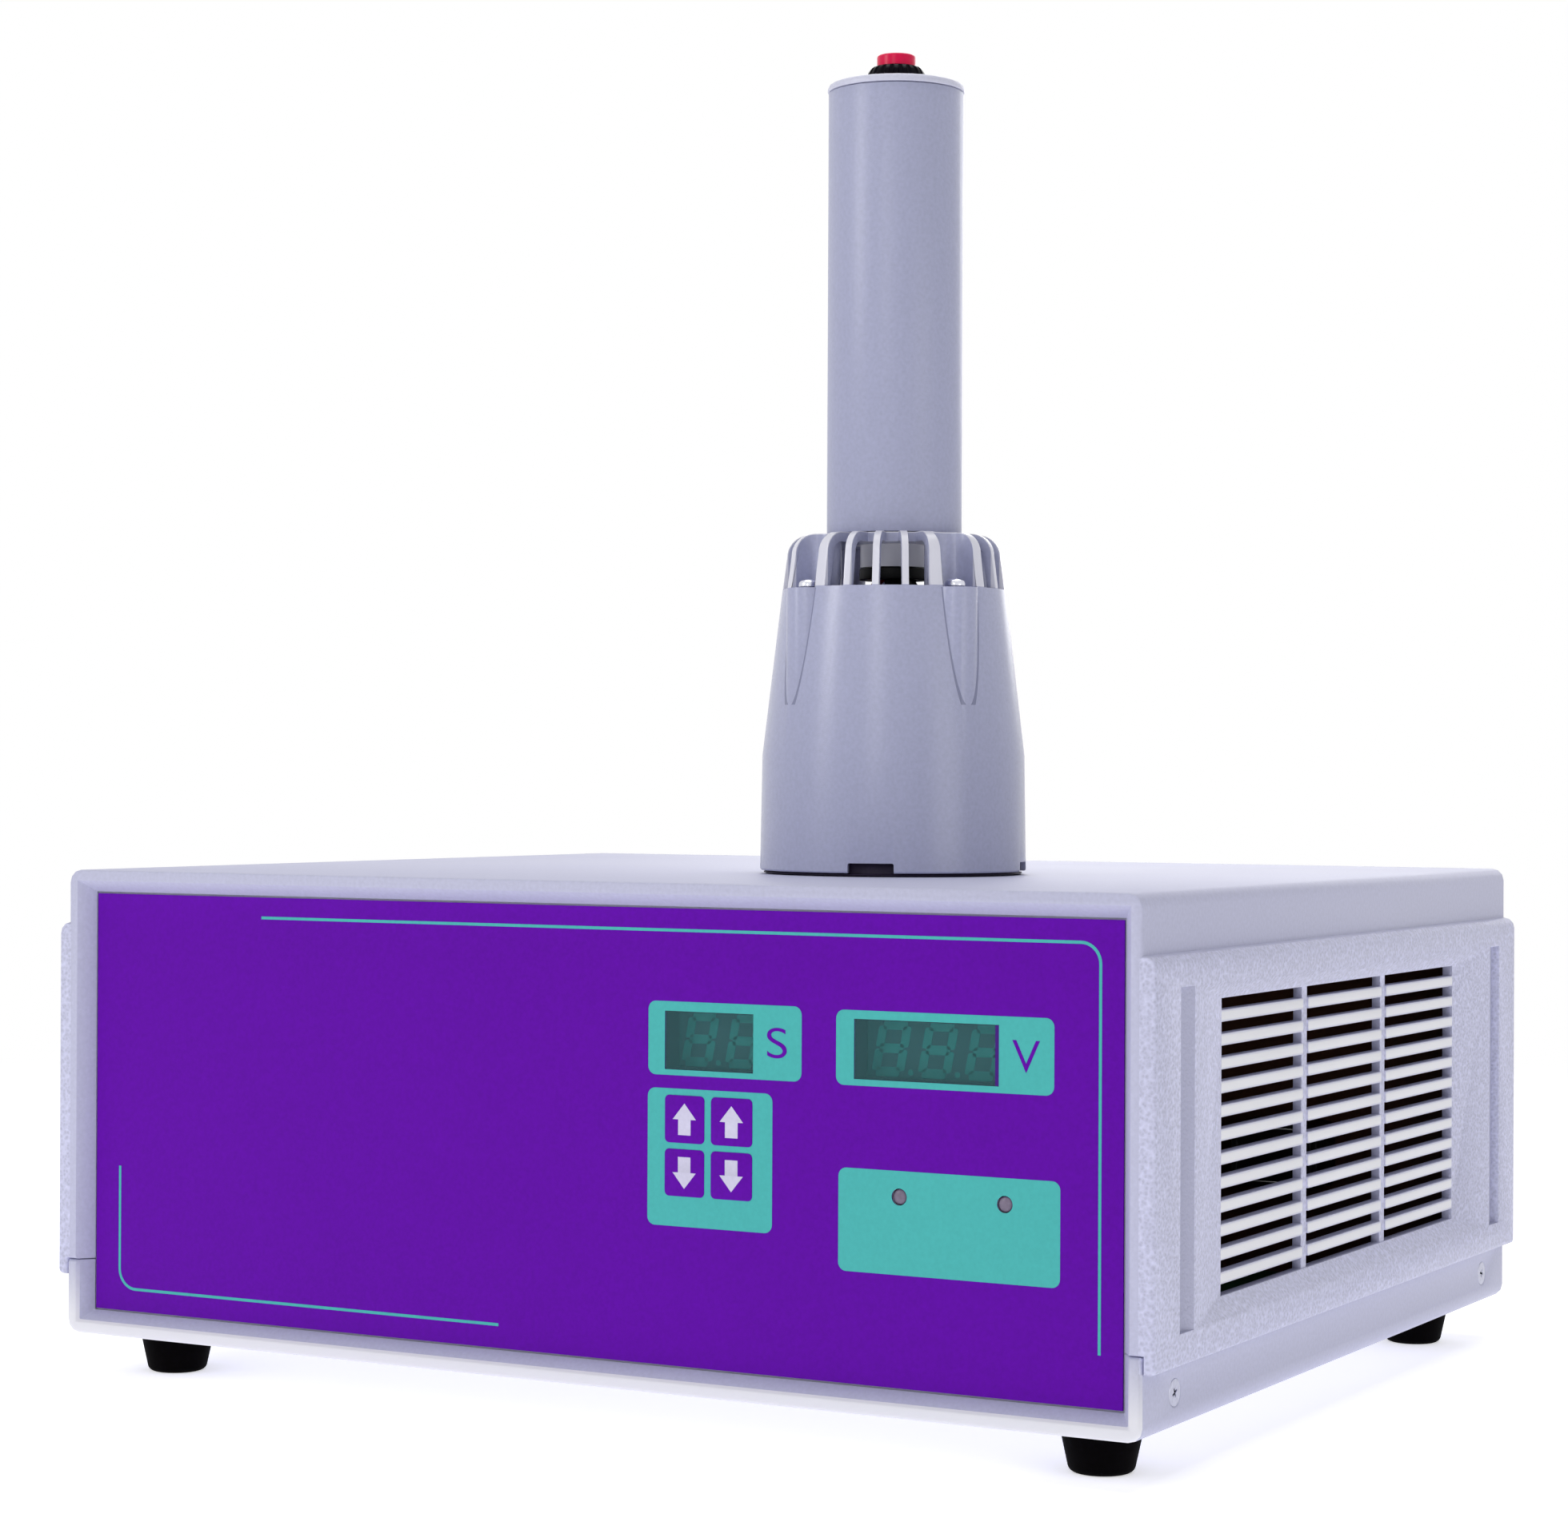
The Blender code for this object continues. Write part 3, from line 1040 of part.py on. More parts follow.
def bell(head):
    """The bell: a turned cup with a slotted cage over its shoulder, screw pockets and bosses."""
    shoulder = (CAGE - CAGE_ROUND, CAGE_TOP_Z - CAGE_ROUND)
    profile = [(0, CAGE_TOP_Z)]
    profile += reversed(arc(shoulder, CAGE_ROUND, 0, 90, 4))
    profile += [(LEDGE, LEDGE_Z), (BELL_CREASE, BELL_CREASE_Z), (BELL_FOOT, BELL_FOOT_Z), (0, BELL_FOOT_Z)]
    cup = turned("bell_housing", profile, HEAD_PLASTIC, head)

    inner = CAGE_ROUND - CAGE_WALL
    top = CAGE_TOP_Z - CAGE_WALL
    profile = [(0, NECK_END_Z), (NECK, NECK_END_Z), (NECK, top)]
    profile += reversed(arc(shoulder, inner, 0, 90, 3))
    profile += [(LEDGE - BELL_WALL, LEDGE_Z), (BELL_CREASE - BELL_WALL, BELL_CREASE_Z)]
    profile += [(BELL_FOOT - BELL_WALL, BELL_FOOT_Z), (BELL_FOOT - BELL_WALL, BELL_FOOT_Z - OVER)]
    profile += [(0, BELL_FOOT_Z - OVER)]
    hollow = turned("bell_hollow", profile, parent=head)
    quarter = 2 * pi / VENT_GROUPS
    for i in range(VENT_GROUPS):
        angle = -pi / 2 + quarter * (i + 0.5)
        boss_at = (*polar(BOSS_CIRCLE, angle), 0)
        low = LEDGE_Z - POCKET_WALL
        cut(hollow, pocket("pocket_column", POCKET + POCKET_WALL, low, angle, head))
        roof = LEDGE_Z - BOSS_ROOF
        post = [(0, roof), (BOSS, roof), (BOSS, BOSS_END_Z), (0, BOSS_END_Z)]
        cut(hollow, turned("boss_column", post, parent=head, at=boss_at, steps=SMALL_STEPS))
        boss = [(0, LEDGE_Z), (BOSS, LEDGE_Z), (BOSS, BELL_CREASE_Z), (0, BELL_CREASE_Z)]
        fuse(cup, turned("boss", boss, parent=head, at=boss_at, steps=SMALL_STEPS))
    cut(cup, hollow)
    bore = SCREW_SHANK + FIT
    hole = [(0, LEDGE_Z + OVER), (bore, LEDGE_Z + OVER), (bore, BOSS_END_Z - OVER), (0, BOSS_END_Z - OVER)]
    for i in range(VENT_GROUPS):
        angle = -pi / 2 + quarter * (i + 0.5)
        at = (*polar(BOLT_CIRCLE, angle), 0)
        cut(cup, turned("boss_bore", hole, parent=head, at=at, steps=SCREW_STEPS))
        cut(cup, pocket("screw_pocket", POCKET, LEDGE_Z, angle, head))

        front = -pi / 2 + quarter * i
        for j in range(VENTS_PER_GROUP):
            first = (j - VENTS_PER_GROUP / 2) * RIB_PITCH
            widths = [RIB / 2, RIB / 2]
            if j == 0:
                widths[0] = END_RIB / 2
            if j == VENTS_PER_GROUP - 1:
                widths[1] = END_RIB / 2
            plan = vent_outline(front + first, widths[0], front + first + RIB_PITCH, widths[1])
            tall = CAGE_TOP_Z + OVER - VENT_SILL_Z
            cut(cup, extruded("vent", plan, tall, parent=head, at=(0, 0, VENT_SILL_Z + tall / 2)))
        depth = 4 * BELL_WALL
        tall = NOTCH_HEIGHT + OVER
        corner = Vector((depth, NOTCH_WIDTH, tall)) / 2
        notch = box("rim_notch", -corner, corner)
        notch.parent = head
        notch.location = (*polar(BELL_FOOT, front), BELL_FOOT_Z + NOTCH_HEIGHT - tall / 2)
        notch.rotation_euler.z = front
        cut(cup, notch)
        screw(
            f"bell_screw_{i + 1}",
            BELL_SCREW_HEAD,
            BELL_SCREW_LENGTH,
            head,
            (at[0], at[1], LEDGE_Z + FIT),
            tall=BELL_SCREW_HEAD_TALL,
        )
    neck_bore = [(0, CAGE_TOP_Z + OVER), (NECK_BORE, CAGE_TOP_Z + OVER), (NECK_BORE, NECK_END_Z - OVER)]
    neck_bore += [(0, NECK_END_Z - OVER)]
    cut(cup, turned("neck_bore", neck_bore, parent=head, steps=SMALL_STEPS))


def coil(head):
    """Coil plate with its screw posts, the flat coil on it and the ferrite cap over the coil."""
    body = BELL_FOOT - BELL_WALL - FIT
    flange = PLATE_FLANGE_THICK
    profile = [(0, PLATE_THICK), (body, PLATE_THICK), (body, flange), (PLATE_FLANGE, flange)]
    profile += [(PLATE_FLANGE, 0), (0, 0)]
    plate = turned("coil_plate", profile, PHENOLIC, head)
    for i in range(VENT_GROUPS):
        angle = -pi / 2 + 2 * pi * (i + 0.5) / VENT_GROUPS
        at = (*polar(BOLT_CIRCLE, angle), 0)
        top = BOSS_END_Z - FIT
        post = [(0, top), (POST, top), (POST, PLATE_THICK / 2), (0, PLATE_THICK / 2)]
        fuse(plate, turned("plate_post", post, parent=head, at=at, steps=SCREW_STEPS))
        bore = SCREW_SHANK + FIT
        end = LEDGE_Z - BELL_SCREW_LENGTH - FIT
        hole = [(0, top + OVER), (bore, top + OVER), (bore, end), (0, end)]
        cut(plate, turned("post_bore", hole, parent=head, at=at, steps=SCREW_STEPS))
    low = PLATE_THICK + FIT
    high = low + COIL_THICK
    edge = COIL_CHAMFER
    ring = [(COIL_INNER, high), (COIL_OUTER - edge, high), (COIL_OUTER, high - edge)]
    ring += [(COIL_OUTER, low + edge), (COIL_OUTER - edge, low), (COIL_INNER, low)]
    turned("induction_coil", ring, COPPER, head, steps=MIDDLE_STEPS, ring=True)
    base = high + FIT
    top = base + FERRITE_THICK
    plug = COIL_INNER - FIT
    core = [(0, top), (COIL_OUTER, top), (COIL_OUTER, base), (plug, base), (plug, low), (0, low)]
    turned("ferrite_core", core, FERRITE, head, steps=MIDDLE_STEPS)
    return top


def lead(name, side, deck, skin, head):
    """One of the two leads from the neck bush down to the ferrite cap, seen through the cage's vents."""
    start = side * (LEAD_BORE - LEAD - FIT)
    spread = side * LEAD_SPREAD
    mouth = NECK_END_Z - FIT - NUT_TALL
    low = deck + FIT
    route = [(start, CAGE_TOP_Z + FIT + CABLE_HEIGHT), (start, mouth)]
    for i in range(1, 5):
        along = i / 4
        route.append((start + (spread - start) * sin(along * pi / 2), mouth - LEAD_BEND * along))
    route += [(spread, low)]
    curve = bpy.data.curves.new(name, "CURVE")
    curve.dimensions = "3D"
    curve.bevel_depth = LEAD
    curve.bevel_resolution = 1
    curve.use_fill_caps = True
    spline = curve.splines.new("POLY")
    spline.points.add(len(route) - 1)
    for point, (x, z) in zip(spline.points, route):
        point.co = (x, 0, z, 1)
    return place(name, curve, skin, head)


def handle(head, deck):
    foot_z = CAGE_TOP_Z + FIT
    floor = foot_z + TUBE_FLOOR
    top = foot_z + TUBE_LENGTH
    inner = TUBE - TUBE_WALL
    profile = [(NECK_BORE, floor), (inner, floor), (inner, top), (TUBE, top)]
    profile += [(TUBE, foot_z), (NECK_BORE, foot_z)]
    tube = turned("handle_tube", profile, HEAD_PLASTIC, head, ring=True)
    cut(tube, saddle_bush("handle_cable_bush", foot_z + CABLE_HEIGHT, head))

    stem = NECK_BORE - FIT
    end = NECK_END_Z - FIT - NUT_TALL
    seat = floor + FIT
    profile = [(LEAD_BORE, seat + BUSH_HEAD_THICK), (BUSH_HEAD, seat + BUSH_HEAD_THICK), (BUSH_HEAD, seat)]
    profile += [(stem, seat), (stem, end), (LEAD_BORE, end)]
    turned("neck_bush", profile, BLACK, head, steps=SMALL_STEPS, ring=True)
    nut = [(stem + FIT, end + NUT_TALL), (NUT, end + NUT_TALL), (NUT, end), (stem + FIT, end)]
    turned("neck_nut", nut, BLACK, head, steps=SMALL_STEPS, ring=True)
    lead("red_lead", -1, deck, RED_LEAD, head)
    lead("black_lead", 1, deck, BLACK, head)

    base = top + FIT
    roof = base + CAP_THICK
    plug = inner - FIT
    bore = BUTTON_STEM + FIT + BUTTON_SWITCH_WALL + FIT
    profile = [(bore, roof)]
    profile += reversed(arc((CAP - CAP_ROUND, roof - CAP_ROUND), CAP_ROUND, 0, 90, 2))
    profile += [(CAP, base), (plug, base), (plug, base - CAP_SPIGOT), (plug - SPIGOT_WALL, base - CAP_SPIGOT)]
    profile += [(plug - SPIGOT_WALL, base), (bore, base)]
    turned("handle_cap", profile, HEAD_PLASTIC, head, ring=True)

    seat = roof + FIT
    crown = seat + BEZEL_TALL
    hole = BUTTON + FIT
    rise = BEZEL_TALL - BEZEL_FOOT
    lip = hole + BEZEL_LIP
    profile = [(hole, seat), (hole, crown)]
    for i in reversed(range(4)):
        bend = i * pi / 8
        profile.append((lip + (BEZEL - lip) * cos(bend), seat + BEZEL_FOOT + rise * sin(bend)))
    profile += [(BEZEL, seat)]
    turned("button_bezel", profile, BLACK, head, steps=MIDDLE_STEPS, ring=True)
    tip = crown + BUTTON_PROUD
    shoulder = seat + BUTTON_TRAVEL + FIT
    profile = [(0, tip), (BUTTON - BUTTON_ROUND, tip), (BUTTON, tip - BUTTON_ROUND), (BUTTON, shoulder)]
    stem_end = shoulder - BUTTON_STEM_LENGTH
    profile += [(BUTTON_STEM, shoulder), (BUTTON_STEM, stem_end), (0, stem_end)]
    turned("seal_button", profile, RED_PLASTIC, head, steps=MIDDLE_STEPS)
    well = BUTTON_STEM + FIT
    outer = well + BUTTON_SWITCH_WALL
    high = seat - FIT
    low = high - BUTTON_SWITCH_LENGTH
    bottom = stem_end - BUTTON_TRAVEL - FIT
    profile = [(0, bottom), (well, bottom), (well, high), (outer, high), (outer, low), (0, low)]
    turned("button_switch", profile, BLACK, head, steps=MIDDLE_STEPS)


front_panel()
upper_shell, lower_shell = case_shells()
rear_panel_and_fittings()
electronics(lower_shell)
sealing_head = empty("sealing_head", (HEAD_X, FRONT + HEAD_FROM_FRONT, CASE_TOP + FIT), (0, 0, HEAD_TURN))
bell(sealing_head)
handle(sealing_head, coil(sealing_head))
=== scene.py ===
from math import cos, pi, radians, sin, sqrt

import bmesh
import bpy
from mathutils import Matrix, Vector


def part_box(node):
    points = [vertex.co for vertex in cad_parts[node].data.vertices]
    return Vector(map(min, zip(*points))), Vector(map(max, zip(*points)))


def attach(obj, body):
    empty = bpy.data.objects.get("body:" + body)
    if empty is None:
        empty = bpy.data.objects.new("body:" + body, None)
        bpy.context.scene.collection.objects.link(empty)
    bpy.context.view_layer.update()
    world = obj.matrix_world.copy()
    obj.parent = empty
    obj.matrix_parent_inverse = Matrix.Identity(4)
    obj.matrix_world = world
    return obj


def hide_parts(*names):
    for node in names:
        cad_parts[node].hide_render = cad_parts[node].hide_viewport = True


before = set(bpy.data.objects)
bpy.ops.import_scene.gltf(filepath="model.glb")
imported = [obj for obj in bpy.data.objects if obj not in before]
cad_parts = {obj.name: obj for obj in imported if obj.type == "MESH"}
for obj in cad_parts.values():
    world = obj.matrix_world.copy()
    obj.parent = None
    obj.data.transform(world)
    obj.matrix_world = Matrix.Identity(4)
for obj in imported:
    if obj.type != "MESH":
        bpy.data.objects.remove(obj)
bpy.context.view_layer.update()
MM = 0.001

# Studio: a plain pale floor under soft light, and the camera at the photograph's place. The floor fades into
# the white round it, so that only the shadow under the machine shows on it.
STAND = Vector((0.48016, -0.87606, 0.16557))
AIM = (pi / 2 + radians(0.25), radians(-0.26), radians(29.25))
LENS = 80.06
LIT = Vector((0, 0, 0.12))
WHITE = (1, 1, 1, 1)
ROOM_LIGHT = 0.21
FLOOR_GLOW = 0.54
FLOOR_RADIUS = 6
FADE_START = 0.25
FADE_END = 1.1

bpy.ops.object.camera_add(location=STAND, rotation=AIM)
camera = bpy.context.object
camera.name = "photo_camera"
camera.data.lens = LENS
camera.data.sensor_width = 36
camera.data.clip_start = 0.01
bpy.context.scene.camera = camera
bpy.context.scene.view_settings.view_transform = "Standard"


def softbox(name, at, width, tall, watts):
    """A soft light that faces the middle of the machine."""
    bpy.ops.object.light_add(type="AREA", location=at)
    lamp = bpy.context.object
    lamp.name = name
    lamp.data.shape = "RECTANGLE"
    lamp.data.size = width
    lamp.data.size_y = tall
    lamp.data.energy = watts
    lamp.rotation_euler = (LIT - Vector(at)).to_track_quat("-Z", "Y").to_euler()


softbox("overhead_softbox", (0.0, 0.1, 1.7), 1.4, 1.4, 13.5)
softbox("left_softbox", (-1.12, -1.55, 1.0), 0.26, 1.0, 9.5)
softbox("front_softbox", (0.43, -2.0, 0.9), 0.3, 0.9, 3.6)
softbox("right_softbox", (1.8, -0.5, 0.3), 0.8, 0.6, 2.6)
softbox("rear_softbox", (-0.4, 1.9, 0.9), 1.5, 1.2, 9)


def node(tree, kind, **values):
    """A node of that kind; a value's name is a property's or a socket's, with _ for a space."""
    made = tree.nodes.new("ShaderNode" + kind)
    for name, value in values.items():
        if hasattr(made, name):
            setattr(made, name, value)
        else:
            made.inputs[name.replace("_", " ")].default_value = value
    return made


def join(*pairs):
    """Links each outlet to the inlet that it feeds."""
    for outlet, inlet in pairs:
        outlet.id_data.links.new(outlet, inlet)


def sums(operation, *values):
    """The outcome of one Math node; the first value is another node's outcome, the others may be numbers."""
    step = node(values[0].id_data, "Math", operation=operation)
    for inlet, value in zip(step.inputs, values):
        if isinstance(value, (int, float)):
            inlet.default_value = value
        else:
            join((value, inlet))
    return step.outputs[0]


def ramp(value, start, end, low=0.0, high=1.0):
    """Runs from low to high while a value runs from start to end."""
    run = node(value.id_data, "MapRange", From_Min=start, From_Max=end, To_Min=low, To_Max=high)
    join((value, run.inputs["Value"]))
    return run.outputs[0]


def rays(tree, *kinds):
    """1 for the camera's own rays and for the kinds named, 0 for the light that falls on the machine."""
    path = node(tree, "LightPath")
    found = path.outputs["Is Camera Ray"]
    for kind in kinds:
        found = sums("MAXIMUM", found, path.outputs[kind])
    return found


studio = bpy.data.worlds.new("studio")
bpy.context.scene.world = studio
studio.use_nodes = True
tree = studio.node_tree
room = tree.nodes["Background"]
room.inputs["Color"].default_value = WHITE
room.inputs["Strength"].default_value = ROOM_LIGHT
paper = node(tree, "Background", Color=WHITE)
choice = node(tree, "MixShader")
join(
    (rays(tree, "Is Glossy Ray", "Is Transmission Ray"), choice.inputs["Fac"]),
    (room.outputs[0], choice.inputs[1]),
    (paper.outputs[0], choice.inputs[2]),
    (choice.outputs[0], tree.nodes["World Output"].inputs["Surface"]),
)

bpy.ops.mesh.primitive_circle_add(vertices=64, radius=FLOOR_RADIUS, fill_type="NGON")
floor = bpy.context.object
floor.name = "studio_floor"
sweep = bpy.data.materials.new("pale_floor")
sweep.use_nodes = True
tree = sweep.node_tree
plain = tree.nodes["Principled BSDF"]
plain.inputs["Base Color"].default_value = (0.93, 0.93, 0.94, 1)
plain.inputs["Roughness"].default_value = 0.9
plain.inputs["Specular IOR Level"].default_value = 0.1
plain.inputs["Emission Color"].default_value = WHITE
plain.inputs["Emission Strength"].default_value = FLOOR_GLOW
glow = node(tree, "Emission")
reach = node(tree, "VectorMath", operation="LENGTH")
fade = ramp(reach.outputs["Value"], FADE_START, FADE_END)
blend = node(tree, "MixShader")
join(
    (node(tree, "TexCoord").outputs["Object"], reach.inputs[0]),
    (sums("MULTIPLY", fade, rays(tree, "Is Glossy Ray")), blend.inputs["Fac"]),
    (plain.outputs[0], blend.inputs[1]),
    (glow.outputs[0], blend.inputs[2]),
    (blend.outputs[0], tree.nodes["Material Output"].inputs["Surface"]),
)
floor.data.materials.append(sweep)


# Shells: the upper one is the roof with both louvred cheeks, the lower one the floor tray. Both are moulded
# in pale lavender-grey plastic, with leather grain on the cheeks and a fine spark texture elsewhere, and
# slats that are smooth. The upper one drops over the tray, and four screws in the sides hold them together.
# Their colour carries painted light on the slats and the lower front rim, and painted shade at the slats'
# edges, in the grooves, in the crevices of the leather grain and on the inner walls.
def linear(colour):
    """An sRGB colour of 0 to 255 as the shader takes it."""
    parts = [value / 255 for value in colour]
    return [p / 12.92 if p <= 0.04045 else ((p + 0.055) / 1.055) ** 2.4 for p in parts] + [1]


CLOUDS = 22.0  # noise scale of the slow drift in tone and sheen
SPECKS = 1000.0  # noise scale of the fine speckle
SPECK_SHARE = 0.75
TONE_SPREAD = 3
SHEEN_DRIFT = 0.06


def moulded(name, colour, roughness, grain=0.35, depth=0.02, drift=0.04, metallic=0.0, gloss=0.5):
    """A finish with a fine grain: its size and its depth in mm, and how far the colour drifts."""
    material = bpy.data.materials.new(name)
    material.use_nodes = True
    tree = material.node_tree
    shader = tree.nodes["Principled BSDF"]
    shader.inputs["Metallic"].default_value = metallic
    shader.inputs["Specular IOR Level"].default_value = gloss
    where = node(tree, "TexCoord").outputs["Object"]
    tone = node(tree, "TexNoise", Scale=CLOUDS, Detail=5.0, Roughness=0.6)
    speck = node(tree, "TexNoise", Scale=SPECKS, Detail=1.0)
    both = node(tree, "Mix")
    both.inputs[0].default_value = SPECK_SHARE
    shade = node(tree, "Mix", data_type="RGBA")
    spread = TONE_SPREAD * drift
    shade.inputs[6].default_value = [c * (1 - spread) for c in linear(colour)[:3]] + [1]
    shade.inputs[7].default_value = [min(1, c * (1 + spread)) for c in linear(colour)[:3]] + [1]
    dull = min(1, roughness + SHEEN_DRIFT)
    sheen = node(tree, "MapRange", To_Min=max(0.02, roughness - SHEEN_DRIFT), To_Max=dull)
    pits = node(tree, "TexNoise", Scale=1 / (grain * MM), Detail=2.0, Roughness=0.5)
    bump = node(tree, "Bump", Strength=1.0, Distance=depth * MM)
    join(
        (where, tone.inputs["Vector"]),
        (where, speck.inputs["Vector"]),
        (tone.outputs["Fac"], both.inputs[2]),
        (speck.outputs["Fac"], both.inputs[3]),
        (both.outputs[0], shade.inputs[0]),
        (shade.outputs[2], shader.inputs["Base Color"]),
        (tone.outputs["Fac"], sheen.inputs["Value"]),
        (sheen.outputs[0], shader.inputs["Roughness"]),
        (where, pits.inputs["Vector"]),
        (pits.outputs["Fac"], bump.inputs["Height"]),
        (bump.outputs[0], shader.inputs["Normal"]),
    )
    return material


def places(material, origin=(0, 0, 0)):
    """A point's X, Y and Z on a piece of that finish, from an origin."""
    tree = material.node_tree
    point = node(tree, "VectorMath", operation="SUBTRACT")
    point.inputs[1].default_value = origin
    apart = node(tree, "SeparateXYZ")
    join((node(tree, "TexCoord").outputs["Object"], point.inputs[0]), (point.outputs[0], apart.inputs[0]))
    return apart.outputs


def overlap(first, *others):
    """1 where all of these masks are 1."""
    for other in others:
        first = sums("MULTIPLY", first, other)
    return first


def painted(material, mask, colour):
    """Lays a colour over a finish where the mask is 1."""
    base = material.node_tree.nodes["Principled BSDF"].inputs["Base Color"]
    over = node(material.node_tree, "Mix", data_type="RGBA")
    over.inputs[7].default_value = linear(colour)
    join((base.links[0].from_socket, over.inputs[6]), (mask, over.inputs[0]), (over.outputs[2], base))


def active(piece):
    """Selects one piece alone and makes it active, in object mode."""
    if bpy.context.mode != "OBJECT":
        bpy.ops.object.mode_set(mode="OBJECT")
    bpy.ops.object.select_all(action="DESELECT")
    piece.select_set(True)
    bpy.context.view_layer.objects.active = piece


def apply(piece, kind, **values):
    """Adds a modifier with these values and applies it."""
    active(piece)
    step = piece.modifiers.new(kind.lower(), kind)
    for name, value in values.items():
        setattr(step, name, value)
    bpy.ops.object.modifier_apply(modifier=step.name)


def rounded(piece, width, segments=2, angle=40):
    """Rounds the edges that turn by more than an angle."""
    apply(piece, "BEVEL", width=width, segments=segments, limit_method="ANGLE", angle_limit=radians(angle))


def fitted(piece, material, body="machine", instead=(), smooth=35):
    """Puts a piece's place in its mesh, gives it finish, slot and body, and hides what it stands for."""
    active(piece)
    bpy.ops.object.transform_apply()
    bpy.ops.object.shade_smooth_by_angle(angle=radians(smooth))
    piece.data.materials.clear()
    piece.data.materials.append(material)
    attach(piece, body)
    if instead:
        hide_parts(*instead)


def dressed(node_name, name, edge, material, body="machine"):
    """A merged copy of a CAD node, its sharp edges rounded by edge in mm, fitted in the node's stead."""
    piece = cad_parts[node_name].copy()
    piece.data = piece.data.copy()
    piece.name = name
    piece.parent = None
    for key in list(piece.keys()):
        del piece[key]
    bpy.context.scene.collection.objects.link(piece)
    piece.hide_render = False
    piece.hide_viewport = False
    active(piece)
    bpy.ops.object.mode_set(mode="EDIT")
    bpy.ops.mesh.select_all(action="SELECT")
    bpy.ops.mesh.remove_doubles(threshold=0.000002)
    bpy.ops.mesh.dissolve_limited(angle_limit=radians(0.3))
    bpy.ops.object.mode_set(mode="OBJECT")
    rounded(piece, edge * MM)
    fitted(piece, material, body, [node_name])


SHELL_COLOUR = (190, 191, 216)
# Painted light: the slats and the lower front rim are painted paler than the rest of the same moulding.
PAINTED_LIGHT_COLOUR = (236, 236, 241)
# Painted shade in the grooves at both ends of the cheeks.
GROOVE_SHADE_COLOUR = (174, 175, 202)
INSIDE_SHADE_COLOUR = (92, 54, 34)  # painted shade, brown-black, on the inner walls
SLAT_FACE = 160 * MM
SLAT_PITCH = 5.78 * MM
# Painted shade at the slats' edges: the pale colour fades in between these two distances in each pitch.
SLAT_EDGE_SHADE_START = 1.4 * MM
SLAT_EDGE_SHADE_END = 2.1 * MM
LOUVRES_LONG = 86.9 * MM  # half their length
LOUVRES_MIDDLE = 76.15 * MM
LOUVRES_TALL = 36.13 * MM  # half their height
CHEEK_TALL = 48 * MM  # half its height
GROOVE_OUT = 115.4 * MM
GROOVE_WIDE = 4.5 * MM  # half its width
GROOVE_TALL = 44 * MM  # half its height
GROOVE_FLOOR = 161.8 * MM
LIP_FRONT = -134 * MM
LIP_SIDE = 160.3 * MM
LIP_LOW = 17 * MM
LIP_HIGH = 31.9 * MM
INNER_WALL = 156.9 * MM
INSIDE_LONG = 128 * MM  # half its length
INSIDE_MIDDLE = 75.5 * MM
INSIDE_TALL = 60.6 * MM  # half its height
LEATHER_SCALE = 1050.0
LEATHER_DEPTH = 0.16 * MM
# Painted shade and light in the leather grain: darker in its crevices, lighter on the tops of its cells.
CREVICE_SHADE = 0.87  # between the cells of the leather
CELL_TOP_LIGHT = 0.46  # added up to the top of a cell
WANDER = 0.0009  # how far the cells of the leather stray from their round form

shell_finish = moulded("shell_plastic", SHELL_COLOUR, 0.5, grain=0.3, depth=0.03)
tree = shell_finish.node_tree
x, y, z = places(shell_finish)
side = sums("ABSOLUTE", x)
slat = overlap(
    sums("COMPARE", side, SLAT_FACE, 0.3 * MM),
    sums("COMPARE", y, 0, LOUVRES_LONG),
    sums("COMPARE", z, LOUVRES_MIDDLE, LOUVRES_TALL),
)
# Painted shade at the edges of each slat, where its pale colour fades out.
row = sums("PINGPONG", sums("SUBTRACT", z, LOUVRES_MIDDLE), SLAT_PITCH / 2)
# Painted highlight on the lower front rim, paler towards its foot.
lip_highlight = overlap(
    sums("LESS_THAN", y, LIP_FRONT),
    sums("LESS_THAN", side, LIP_SIDE),
    ramp(z, LIP_LOW, LIP_HIGH, 0.9, 0.0),
)
# Painted shade: the grooves at both ends of each cheek are painted darker.
groove_shade = overlap(
    sums("COMPARE", sums("ABSOLUTE", y), GROOVE_OUT, GROOVE_WIDE),
    sums("COMPARE", z, LOUVRES_MIDDLE, GROOVE_TALL),
    sums("COMPARE", side, GROOVE_FLOOR, 1.4 * MM),
)
# Painted shade, brown-black, on the inner walls of the shells where they are seen through the louvres.
inside = overlap(
    sums("LESS_THAN", side, INNER_WALL),
    sums("COMPARE", z, INSIDE_MIDDLE, INSIDE_TALL),
    sums("COMPARE", y, 0, INSIDE_LONG),
)
cheek = overlap(
    sums("GREATER_THAN", side, SLAT_FACE - 0.8 * MM),
    sums("COMPARE", z, LOUVRES_MIDDLE, CHEEK_TALL),
)
grained = sums("GREATER_THAN", cheek, slat)
where = node(tree, "TexCoord").outputs["Object"]
wander = node(tree, "TexNoise", Scale=900.0, Detail=2.0)
drawn = node(tree, "Mix", data_type="VECTOR")
drawn.inputs[0].default_value = WANDER
leather = node(tree, "TexVoronoi", feature="SMOOTH_F1", Scale=LEATHER_SCALE, Smoothness=0.5)
cells = leather.outputs["Distance"]
spark = node(tree, "Bump", Strength=1.0, Distance=LEATHER_DEPTH)
